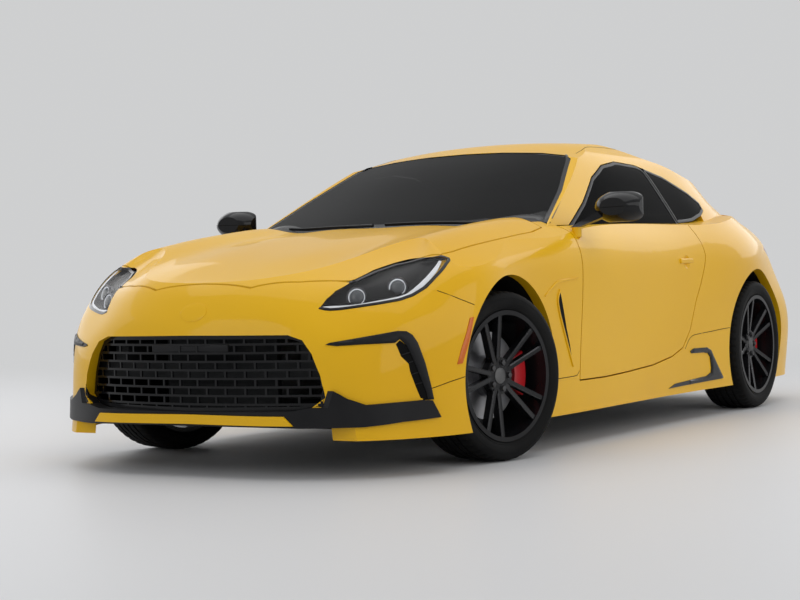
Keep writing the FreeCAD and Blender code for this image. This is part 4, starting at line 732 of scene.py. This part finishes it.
# %% Draw the seams
seam = dict(widths=0.0028, height=0.0006, material=liner_black)
strip("corner_seam", [(1.791, 0.807, 0.299), (1.759, 0.825, 0.308), (1.715, 0.845, 0.320),
    (1.668, 0.864, 0.330), (1.650, 0.868, 0.334)], corner_view, **seam)
strip("fender_seam", [(1.708, 0.795, 0.637), (1.674, 0.826, 0.620), (1.643, 0.848, 0.605),
    (1.605, 0.867, 0.590), (1.585, 0.873, 0.583)], corner_view, **seam)
strip("skirt_front_seam", [(0.930, 0.848, 0.275), (0.894, 0.848, 0.277), (0.732, 0.848, 0.279),
    (0.705, 0.847, 0.285), (0.690, 0.846, 0.297)], side_view, **seam)
strip("skirt_rear_seam", [(-0.430, 0.843, 0.330), (-0.470, 0.845, 0.370), (-0.513, 0.848, 0.388),
    (-0.589, 0.852, 0.394), (-0.700, 0.858, 0.399), (-0.835, 0.866, 0.406),
    (-0.925, 0.871, 0.409)], side_view, **seam)
roof_skin = skin_of("roof_panel", "windscreen_frame", "quarter_panels")
strip("roof_seam", [(0.004, 0.528, 1.216), (-0.040, 0.522, 1.226), (-0.081, 0.517, 1.235),
    (-0.217, 0.493, 1.257), (-0.500, 0.478, 1.262), (-0.800, 0.480, 1.235),
    (-0.930, 0.482, 1.215)], (0, 0, -1), skin=roof_skin, **seam)
print("seams drawn")

# %% [markdown]
# ## Pillar feet
# The roof's rear pillar runs down into the haunch behind the quarter window, and on a real
# body both are one pressed sheet. The CAD panel leaves a narrow slit between them. It
# could be bridged with a flat plate, but light would show its edges. A thin curved fillet
# closes it better: its long edges tuck under the pillar and the haunch, and it hollows a
# little between them, as the sheet would.

# %% Close the pillars' feet
foot_front, foot_rear = -1.20, -1.39
foot_inner, foot_outer = 0.655, 0.730
foot_sunk, foot_thickness = 0.003, 0.004
foot_rows, foot_columns = 20, 8
above_roof = 1.2
straight_down = Vector((0, 0, -1))
foot = bmesh.new()
foot_grid = []
for row in range(foot_rows + 1):
    x = foot_front + (foot_rear - foot_front) * row / foot_rows
    high, low = [on_skin(outer_skin, (x, y, above_roof), straight_down)[0].z
                 for y in (foot_inner, foot_outer)]
    for column in range(foot_columns + 1):
        share = column / foot_columns
        z = low + (high - low) * (1 - share) ** 2 - foot_sunk
        foot_grid.append(foot.verts.new((x, foot_inner + (foot_outer - foot_inner) * share, z)))
for a, b, c, d in net(foot_rows + 1, foot_columns + 1, columns_meet=False):
    foot.faces.new([foot_grid[i] for i in (a, d, c, b)])
bmesh.ops.recalc_face_normals(foot, faces=foot.faces)
bmesh.ops.solidify(foot, geom=foot.faces[:], thickness=foot_thickness)
foot.verts.index_update()
pair_up("pillar_foot", [tuple(v.co) for v in foot.verts],
    [[v.index for v in face.verts] for face in foot.faces], paint, "chassis", True)
foot.free()
print("pillar feet closed")

# %% [markdown]
# ## Glass edges
# Every window has a black border: rubber round the side windows, and a printed band round
# the screens. It could be drawn from points by hand, but the glass already knows its own
# edge. Only the outward faces of its CAD mesh are kept, and the open edge left round them
# is the path for the seal, which then fits however the window is shaped.

# %% Find the outward sheet of a CAD node
def outer_sheet(node_name, direction, side=0, least=0.35):
    """The part of a node that faces direction; least says how squarely it has to."""
    direction = Vector(direction).normalized()
    work = bmesh.new()
    work.from_mesh(frame["nodes"][node_name].data)
    bmesh.ops.remove_doubles(work, verts=work.verts, dist=0.00005)
    work.normal_update()
    extra = [f for f in work.faces if f.normal.dot(direction) < least
             or (side and f.calc_center_median().y * side < 0)]
    bmesh.ops.delete(work, geom=extra, context="FACES")
    return work


def border_loops(work):
    """The closed loops of open edges, longest first."""
    following = {}
    for edge in work.edges:
        if len(edge.link_faces) == 1:
            loop = edge.link_loops[0]
            following[loop.vert] = loop.link_loop_next.vert
    loops = []
    while following:
        start, vertex = next(iter(following.items()))
        path = [start]
        del following[start]
        while vertex in following:
            path.append(vertex)
            vertex = following.pop(vertex)
        loops.append(path)
    return sorted(loops, key=lambda path: -sum((a.co - b.co).length
                                               for a, b in zip(path, path[1:])))


least_stride = 0.6


def edge_band(name, node_name, direction, inset, width, height, material, side=0,
              body="chassis", both=False, step=0.02, least=0.35):
    """A strip that follows the edge of a node's outward sheet, a little inside it."""
    work = outer_sheet(node_name, direction, side, least)
    path = border_loops(work)[0]
    middle = sum((v.co for v in path), Vector()) / len(path)
    corners = []
    total = len(path)
    for i, vertex in enumerate(path):
        run = (path[(i + 1) % total].co - path[i - 1].co).normalized()
        inward = vertex.normal.cross(run)
        if inward.dot(middle - vertex.co) < 0:
            inward = -inward
        corners.append(vertex.co + inward * inset)
    kept = [corners[0]]
    for corner in corners[1:]:
        if (corner - kept[-1]).length > step * least_stride:
            kept.append(corner)
    work.free()
    return strip(name, kept, -Vector(direction), width, height, material, skin=skin_of(node_name),
        body=body, both=both, closed=True, step=step)


edge_band("door_glass_seal", "door_window_left", (0, 1, 0.25), 0.007, 0.015, 0.0022, satin_black,
    side=1, body="door_left", both=True)
edge_band("quarter_glass_seal", "quarter_windows", (0, 1, 0.25), 0.007, 0.015, 0.0022,
    satin_black, side=1, both=True)
edge_band("windscreen_band", "windscreen", (0.5, 0, 1), 0.016, 0.034, 0.0010, gloss_black)
edge_band("rear_window_band", "rear_window", (-0.5, 0, 1), 0.014, 0.030, 0.0010, gloss_black)
print("glass edges laid")

# %% [markdown]
# ## Headlamps
# A headlamp is a clear lens over a deep dark bowl. In the bowl sit two round projectors,
# and a white light guide follows the lens from its inner tip along the lower edge and up
# to the outer tip. The closed CAD lamp could be given a shiny finish, but the eye looks
# for depth in a lamp. So its outward sheet becomes the lens, and the same sheet, drawn in
# and sunk, becomes the bowl, joined to the rim by walls.

# %% Split the lamp into bowl and lens
lamp_view = Vector((-0.62, -0.45, -0.64)).normalized()
sheet = outer_sheet("headlamps", -lamp_view, side=1, least=0.25)
sheet_points = [v.co.copy() for v in sheet.verts]
sheet_slopes = [v.normal.copy() for v in sheet.verts]
for index, vertex in enumerate(sheet.verts):
    vertex.index = index
sheet_faces = [tuple(v.index for v in face.verts) for face in sheet.faces]
lamp_border = [v.index for v in border_loops(sheet)[0]]
lamp_middle = sum((sheet_points[i] for i in lamp_border), Vector()) / len(lamp_border)
sheet.free()


rim_tuck = 0.03


def layered(name, top_depth, low_depth, inset, material, close_top):
    """The lamp's sheet at two depths, joined round its border."""
    tops = [p - n * top_depth for p, n in zip(sheet_points, sheet_slopes)]
    if close_top:
        lows = [p - n * low_depth for p, n in zip(sheet_points, sheet_slopes)]
    else:
        tops = [p.lerp(lamp_middle, rim_tuck) for p in tops]
        lows = [p.lerp(lamp_middle, inset) + Vector((0, -low_depth, 0)) for p in tops]
    count = len(tops)
    faces = [tuple(count + i for i in face) for face in sheet_faces]
    if close_top:
        faces = [tuple(face) for face in sheet_faces] + [face[::-1] for face in faces]
    ring = lamp_border + lamp_border[:1]
    for a, b in zip(ring, ring[1:]):
        wall = (a, b, count + b, count + a)
        faces.append(wall[::-1] if close_top else wall)
    return pair_up(name, tops + lows, faces, material, "chassis", True)


bowl = layered("headlamp_bowl", 0.003, 0.045, 0.12, lamp_black, False)
layered("headlamp_lens", 0.0004, 0.0030, 0.0, lens_glass, True)
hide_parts("headlamps")
lamp_skin = skin_of("headlamps")
edge_band("headlamp_rim", "headlamps", -lamp_view, 0.004, 0.012, 0.0012, gloss_black, side=1,
    both=True, step=0.012, least=0.25)
print("lamp sheet", len(sheet_faces), "faces")

# %% [markdown]
# The light guide is a strip hung just under the lens. Each projector is a round part that
# would be turned or moulded, so it is turned here too: a short profile, swept round its
# axis in code, makes a barrel with a stepped mouth, a bright ring and a domed glass eye.
# Stacked cylinders would have hard steps where the real ones have curves.

# %% Fit the light guide and the projectors
guide_path = [(1.986, 0.484, 0.586), (1.970, 0.493, 0.590), (1.916, 0.585, 0.591),
    (1.854, 0.664, 0.605), (1.801, 0.716, 0.620), (1.762, 0.736, 0.641), (1.707, 0.751, 0.677),
    (1.655, 0.756, 0.711), (1.606, 0.751, 0.744)]
strip("light_guide", guide_path, lamp_view,
    [0.008, 0.014, 0.020, 0.021, 0.019, 0.018, 0.018, 0.018, 0.010], 0.002, guide_white_painted_glow,
    skin=lamp_skin, lift=-0.0065, slot="lamp")


def lathe(profile, count=48):
    """Points and faces of a profile of (radius, height) turned about Z."""
    points = []
    for radius, height in profile:
        for i in range(count):
            turn = 2 * math.pi * i / count
            points.append(Vector((radius * math.cos(turn), radius * math.sin(turn), height)))
    return points, net(len(profile), count)


def aimed(points, place, aim):
    """Points with their Z turned towards aim, at place."""
    turn = Vector(aim).to_track_quat("Z", "Y").to_matrix()
    return [turn @ p + Vector(place) for p in points]


projector_aim = Vector((0.90, 0.34, 0.22))
projector_depth = 0.017
barrel_profile = [(0.020, -0.026), (0.036, -0.024), (0.038, 0.000), (0.036, 0.004),
    (0.033, 0.004), (0.031, -0.002), (0.027, -0.004), (0.026, -0.010)]
ring_profile = [(0.0295, -0.003), (0.0300, 0.0015), (0.0280, 0.0020), (0.0262, -0.003)]
eye_profile = [(0.0265, -0.006), (0.0240, -0.0005), (0.0195, 0.0035), (0.0130, 0.0062),
    (0.0065, 0.0074), (0.0003, 0.0078)]
# The ring takes the guide's white with its painted glow, so its brightness is painted light.
projector_parts = (("barrel", barrel_profile, barrel_metal_and_painted_highlight), ("ring", ring_profile, guide_white_painted_glow),
    ("eye", eye_profile, eye_glass))
for label, spot in (("inner", (1.868, 0.560, 0.616)), ("outer", (1.764, 0.664, 0.650))):
    place, slope = on_skin(lamp_skin, spot, lamp_view)
    place = place - slope * projector_depth
    for part, profile, finish in projector_parts:
        points, faces = lathe(profile)
        pair_up("projector_%s_%s" % (label, part), aimed(points, place, projector_aim), faces,
            finish, "chassis", True)
print("projectors fitted")

# %% [markdown]
# ## Door mirrors
# A door mirror is a hollow black housing with a flat silvered glass. The housing is the
# CAD node in gloss black. Its open back could be cut out for the glass, but a thin plate
# with a mirror's finish and a rounded outline, laid on the back, looks the same. A fine
# line shows where the upper and the lower shell meet.

# %% Finish the mirrors
mirror_skin = skin_of("mirror_left")
mirror_low, mirror_high = [Vector(c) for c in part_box("mirror_left")]
glass_middle = Vector((mirror_low.x, 0.960, 0.949))
glass_half_width, glass_half_height = 0.078, 0.043
glass_squareness = 0.8
mirror_outline = []
for i in range(36):
    turn = 2 * math.pi * i / 36
    swing, climb = [math.copysign(abs(c) ** glass_squareness, c)
                    for c in (math.cos(turn), math.sin(turn))]
    mirror_outline.append(glass_middle + Vector((0, glass_half_width * swing,
                                                 glass_half_height * climb)))
plate("mirror_glass", mirror_outline, (1, 0, 0), 0.0015, mirror_silver, skin=mirror_skin,
    body="mirror_left", spacing=0.010, edge=0.8)
strip("mirror_shell_line", [(0.58, 0.880, 0.946), (0.58, 0.920, 0.947), (0.58, 0.970, 0.948),
    (0.57, 1.020, 0.949), (0.55, 1.048, 0.950)], (-1, 0, 0), 0.0022, 0.0008, liner_black,
    skin=mirror_skin, body="mirror_left")
print("mirror box", [round(v, 3) for v in mirror_low], [round(v, 3) for v in mirror_high])

# %% [markdown]
# ## Tyres
# A tyre has a bead, a side wall with a rim rib and a fine ring, rounded shoulders, and a
# tread with four long grooves and many short ones. The tread could be a bump map, but at
# the tyre's outline a bump lies flat. Turning one section in code gives the long grooves
# at once, and at every few steps the shoulder blocks are sunk, so that cross grooves
# appear where a real tread has them.

# %% Turn a tyre
tyre_half_section = [(0.2345, 0.0935), (0.2424, 0.0940), (0.2460, 0.0975), (0.2500, 0.1010),
    (0.2520, 0.1024), (0.2532, 0.1012), (0.2545, 0.1018), (0.2620, 0.1050), (0.2680, 0.1066),
    (0.2750, 0.1074), (0.2835, 0.1070), (0.2842, 0.1060), (0.2852, 0.1060), (0.2860, 0.1066),
    (0.2930, 0.1050), (0.2990, 0.1022), (0.3035, 0.0988), (0.3072, 0.0945), (0.3102, 0.0890),
    (0.3122, 0.0825), (0.3128, 0.0700), (0.3135, 0.0525), (0.3070, 0.0515), (0.3070, 0.0435),
    (0.3139, 0.0425), (0.3143, 0.0215), (0.3075, 0.0205), (0.3075, 0.0125), (0.3145, 0.0115)]
shoulder_rows = range(17, 21)
tyre_section = tyre_half_section + [(r, -y) for r, y in tyre_half_section[::-1]]
middle_rows = (24, 25)
tyre_steps = 224
cross_groove_depth, slit_depth = 0.0045, 0.0030
wheel_corners = {"front_left": (1, -11.9), "front_right": (-1, -11.9), "rear_left": (1, 0.0),
    "rear_right": (-1, 0.0)}


def wheel_frame(corner):
    """From the wheel's own axes (Y out along the axle) to its place on the car."""
    side, steer = wheel_corners[corner]
    low, high = [Vector(c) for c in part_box("tyre_" + corner)]
    mirror = Matrix.Diagonal((1, side, 1, 1))
    turned = Matrix.Rotation(math.radians(steer), 4, "Z")
    return Matrix.Translation((low + high) / 2) @ turned @ mirror


def wheel_piece(name, corner, points, faces, material):
    """A piece made in the wheel's own axes, put on one wheel, and mirrored on the right."""
    side = wheel_corners[corner][0]
    place = wheel_frame(corner)
    thing = mesh_object(name + "_" + corner, [place @ Vector(p) for p in points],
                        faces if side > 0 else [face[::-1] for face in faces], material, True)
    thing.data.set_sharp_from_angle(angle=crease_angle)
    return put(thing, "wheel_" + corner)


tyre_points = []
rows = len(tyre_section)
for step_index in range(tyre_steps):
    turn = 2 * math.pi * step_index / tyre_steps
    cross_groove = step_index % 4 == 0
    for row, (radius, sideways) in enumerate(tyre_section):
        near_row = min(row, rows - 1 - row)
        sunk = cross_groove_depth if cross_groove and near_row in shoulder_rows else 0.0
        if step_index % 8 == 2 and near_row in middle_rows:
            sunk = slit_depth
        radius -= sunk
        tyre_points.append(Vector((radius * math.cos(turn), sideways, radius * math.sin(turn))))
tyre_faces = [(a, d, c, b) for a, b, c, d in net(tyre_steps, rows, rows_meet=True)]
for corner in wheel_corners:
    tyre = wheel_piece("tread_tyre", corner, tyre_points, tyre_faces, tyre_rubber)
    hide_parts("tyre_" + corner)
print("tyre faces", len(tyre_faces))

# %% [markdown]
# ## Wheels
# The wheel is gloss black with ten thin spokes in five pairs. Its bevelled edges catch the
# light along both sides of each spoke. A bevel would have to change the CAD mesh, so a
# fine three-sided ridge lies along each edge instead, in a grey metal lighter than the
# black wheel: a painted highlight. In the middle sit a plain grey cap and five nuts in
# round wells, turned on the same lathe as the projectors; a lathe with six steps makes a
# six-sided nut.

# %% Dress the wheels
hub_reach, nut_circle = 0.0675, 0.0500
rim_mesh = frame["nodes"]["rim_rear_left"].data
rim_middle = wheel_frame("rear_left").translation
hub_face = max(v.co.y - rim_middle.y for v in rim_mesh.vertices
               if math.hypot(v.co.x - rim_middle.x, v.co.z - rim_middle.z) < hub_reach)
spoke_half = 0.0085
root_radius, tip_radius, tip_face = 0.066, 0.2270, 0.0965
slope_start, slope_end = 0.048, 0.2285
ridge_width, ridge_rise, foot_drop, root_drop = 0.0022, 0.0006, 0.0022, 0.0030
ridge_section = ((ridge_rise, -foot_drop), (-ridge_width, ridge_rise), (-ridge_width, -root_drop))
edge_points, edge_faces = [], []
for pair_number in range(5):
    for lean in (-11.0, 11.0):
        turn = math.radians(72.0 * pair_number + lean)
        along = Vector((math.cos(turn), 0, -math.sin(turn)))
        across = Vector((math.sin(turn), 0, math.cos(turn)))
        for side in (-1, 1):
            first = len(edge_points)
            for share in (0.0, 1.0):
                radius = root_radius + (tip_radius - root_radius) * share
                slope = (radius - slope_start) / (slope_end - slope_start)
                height = hub_face + (tip_face - hub_face) * slope
                for reach, rise in ridge_section:
                    edge_points.append(along * radius + across * (side * (spoke_half + reach))
                                       + Vector((0, height + rise, 0)))
            a, b, c, d, e, f = range(first, first + 6)
            faces = [(a, b, e, d), (b, c, f, e), (c, a, d, f), (a, c, b), (d, e, f)]
            edge_faces += faces if side < 0 else [face[::-1] for face in faces]
cap_points, cap_faces = lathe([(0.0300, -0.012), (0.0300, 0.0015), (0.0288, 0.0030),
    (0.0262, 0.0034), (0.0255, 0.0026), (0.0180, 0.0038), (0.0090, 0.0044), (0.0003, 0.0046)], 40)
nut_points, nut_faces = lathe([(0.0118, -0.010), (0.0118, 0.0060), (0.0100, 0.0085),
    (0.0060, 0.0090), (0.0003, 0.0092)], 6)
well_points, well_faces = lathe([(0.0150, 0.0004), (0.0150, 0.0020), (0.0132, 0.0020),
    (0.0128, 0.0004)], 24)


def on_axle(points, middle):
    """From a lathe's Z to the wheel's outward Y."""
    return [Vector((p.x + middle.x, p.z + middle.y, -p.y + middle.z)) for p in points]


for corner in wheel_corners:
    # The ridges' lighter grey is a painted highlight along the edges of the black spokes.
    wheel_piece("spoke_edge_highlights", corner, edge_points, edge_faces, barrel_metal_and_painted_highlight)
    wheel_piece("wheel_cap", corner, on_axle(cap_points, Vector((0, hub_face, 0))), cap_faces,
        cast_metal)
    nuts, nut_shapes = [], []
    for nut in range(5):
        turn = math.radians(72 * nut + 36)
        middle = Vector((nut_circle * math.cos(turn), hub_face, nut_circle * math.sin(turn)))
        for points, faces in ((nut_points, nut_faces), (well_points, well_faces)):
            first = len(nuts)
            nuts += on_axle(points, middle)
            nut_shapes += [tuple(first + i for i in face) for face in faces]
    wheel_piece("wheel_nuts", corner, nuts, nut_shapes, dark_steel)
print("hub face", round(hub_face, 4))

# %% [markdown]
# ## Seats
# A car seat is foam under stretched cloth: crowned in the middle, fuller at its side wings
# and drawn in along its seams. It could be sculpted point by point, but stretched cloth
# finds its own shape. Each pad starts as a rounded block and is remeshed into small even
# squares. A cloth simulation, with a little pressure inside, then pulls its skin taut and
# round. A cap keeps every point near its start. The sewn channels are pressed in last,
# because remeshing would have wiped them out.

# %% Sew a seat pad
block_cuts = 11
wing_start, wing_share = 0.55, 0.45
cloth_pressure = 4.0
cloth_frames = 20


def rounded_block(size, wing, sharpness=4.5):
    """A block with rounded sides; wing raises its top towards both ends of Y."""
    work = bmesh.new()
    bmesh.ops.create_cube(work, size=2.0)
    bmesh.ops.subdivide_edges(work, edges=list(work.edges), cuts=block_cuts, use_grid_fill=True)
    half = Vector(size) / 2
    for vertex in work.verts:
        p = vertex.co
        reach = max(abs(p.x), abs(p.y), abs(p.z))
        norm = sum(abs(c) ** sharpness for c in p) ** (1 / sharpness)
        p = p * (reach / norm)
        rise = wing * max(0.0, (abs(p.y) - wing_start) / wing_share) ** 1.5 * (0.5 + 0.5 * p.z)
        vertex.co = Vector((p.x * half.x, p.y * half.y, p.z * half.z + rise))
    mesh = bpy.data.meshes.new("block")
    work.to_mesh(mesh)
    work.free()
    return mesh


def worked_in(thing):
    """A new mesh that has the thing's modifiers worked in."""
    return bpy.data.meshes.new_from_object(
        thing.evaluated_get(bpy.context.evaluated_depsgraph_get()))


def settled(mesh, name, voxel, cap):
    """The mesh remeshed, blown up as cloth and capped."""
    thing = bpy.data.objects.new(name, mesh)
    scene.collection.objects.link(thing)
    remesh = thing.modifiers.new("remesh", "REMESH")
    remesh.mode = "VOXEL"
    remesh.voxel_size = voxel
    even = worked_in(thing)
    thing.modifiers.clear()
    thing.data = even
    start = [v.co.copy() for v in even.vertices]
    cloth = thing.modifiers.new("cloth", "CLOTH")
    cloth.settings.use_pressure = True
    cloth.settings.uniform_pressure_force = cloth_pressure
    cloth.settings.effector_weights.gravity = 0.0
    for frame_number in range(1, cloth_frames + 1):
        scene.frame_set(frame_number)
    blown = worked_in(thing)
    thing.modifiers.clear()
    scene.frame_set(1)
    for vertex, before in zip(blown.vertices, start):
        move = vertex.co - before
        if move.length > cap:
            vertex.co = before + move * (cap / move.length)
    thing.data = blown
    return thing


seam_width, seam_depth, seam_reach = 0.007, 0.007, 0.34
swell = 0.012
pad_voxel = 0.010


def seat_pad(name, size, middle, lean, wing, channels_x, channels_y, both):
    """A padded piece; lean tips it back about Y; channels are sewn lines across X or Y."""
    thing = settled(rounded_block([s - swell for s in size], wing),
        name + ("_left" if both else ""), pad_voxel, swell)
    mesh = thing.data
    for vertex in mesh.vertices:
        p = vertex.co
        if p.z > 0:
            press = sum(math.exp(-((p.x - x) / seam_width) ** 2) for x in channels_x
                        if abs(p.y) < size[1] * seam_reach)
            press += sum(math.exp(-((abs(p.y) - y) / seam_width) ** 2) for y in channels_y)
            p.z -= seam_depth * min(press, 1.2)
    tilt = Euler((0, math.radians(lean), 0)).to_matrix().to_4x4()
    mesh.transform(Matrix.Translation(middle) @ tilt)
    mesh.materials.clear()
    mesh.materials.append(seat_cloth)
    mesh.shade_smooth()
    pieces = [thing]
    if both:
        twin_mesh = mesh.copy()
        twin_mesh.transform(Matrix.Diagonal((1, -1, 1, 1)))
        twin_mesh.flip_normals()
        twin = bpy.data.objects.new(name + "_right", twin_mesh)
        scene.collection.objects.link(twin)
        pieces.append(twin)
    for piece in pieces:
        put(piece, "chassis")
    print(name, len(mesh.polygons), "faces")
    return pieces


print("seat tool ready")

# %% [markdown]
# A front seat is a cushion, a back and a headrest on a plastic base; the rear bench is one
# wide cushion and one wide back. Each could be a single mesh, but separate pads meet in
# creases as real ones do. Each pad takes the room of its CAD seat, leans as a driver's seat
# does, and stands for that seat's solid, which stays in the physics model, hidden.

# %% Set the seats
front_y = 0.360
front_cushions = seat_pad("front_seat_cushion", (0.44, 0.46, 0.150), (-0.045, front_y, 0.300),
    -7.0, 0.030, (-0.10, 0.0, 0.10), (0.145,), True)
seat_pad("front_seat_back", (0.56, 0.45, 0.120), (-0.388, front_y, 0.610), -71.5, 0.030,
    (-0.14, -0.04, 0.06, 0.16), (0.140,), True)
seat_pad("front_headrest", (0.125, 0.25, 0.085), (-0.490, front_y, 0.950), -76.0, 0.0, (), (),
    True)
rear_cushion = seat_pad("rear_seat_cushion", (0.30, 0.84, 0.140), (-0.735, 0.0, 0.312), -4.0,
    0.012, (0.0,), (0.0, 0.30), False)
seat_pad("rear_seat_back", (0.45, 0.84, 0.100), (-0.962, 0.0, 0.600), -70.0, 0.012, (-0.10, 0.06),
    (0.0, 0.30), False)
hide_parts("front_seats")
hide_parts("rear_seat")
for base_name, low, high in (("front_seat_base", (-0.30, 0.150, 0.173), (0.13, 0.570, 0.245)),
                             ("rear_seat_base", (-0.86, -0.42, 0.173), (-0.61, 0.42, 0.262))):
    level_box(base_name, low, high, 0.012, satin_black, both=base_name.startswith("front"))
print("seats set")

# %% [markdown]
# ## Wipers
# Two wiper arms rest at the foot of the windscreen, half hidden by the bonnet. A real arm
# is a folded strip with a blade under it. Seen from a few steps away only its taper and
# its gloss remain, so each is one strip that narrows towards its tip.

# %% Fit the wipers
screen_skin = skin_of("windscreen", "cowl")
driver_arm = [(0.728, 0.480, 0.91), (0.748, 0.300, 0.92), (0.760, 0.120, 0.93),
    (0.764, 0.000, 0.93)]
passenger_arm = [(0.766, -0.060, 0.91), (0.756, -0.220, 0.91), (0.728, -0.420, 0.91),
    (0.690, -0.540, 0.91)]
for arm, path in (("driver", driver_arm), ("passenger", passenger_arm)):
    strip("wiper_%s" % arm, path, (0, 0, -1), [0.016, 0.012, 0.009, 0.007], 0.008, satin_black,
        skin=screen_skin, both=False)
print("wipers fitted")

# %% [markdown]
# ## Tail
# The photograph doesn't show the tail, so it gets only what every such car has: a flat
# dark plate in the middle, and a black lower panel round the exhaust tips. Both could be
# cut out of the bumper. Thin plates that follow its curve leave the panel in one piece.

# %% Finish the tail
tail_skin = skin_of("rear_bumper")
tail_view = (1, 0, 0)
blank_plate = [(-0.260, 0.470), (0.260, 0.470), (0.260, 0.360), (-0.260, 0.360)]
lower_panel = [(-0.600, 0.245), (-0.560, 0.290), (0.0, 0.305), (0.560, 0.290), (0.600, 0.245),
    (0.560, 0.145), (0.0, 0.140), (-0.560, 0.145)]
for name, shape, spacing in (("rear_plate", blank_plate, 0.02),
                             ("tail_panel", lower_panel, 0.025)):
    plate(name, [(-2.1, y, z) for y, z in shape], tail_view, 0.0005, satin_black, skin=tail_skin,
        both=False, spacing=spacing)
print("tail finished")
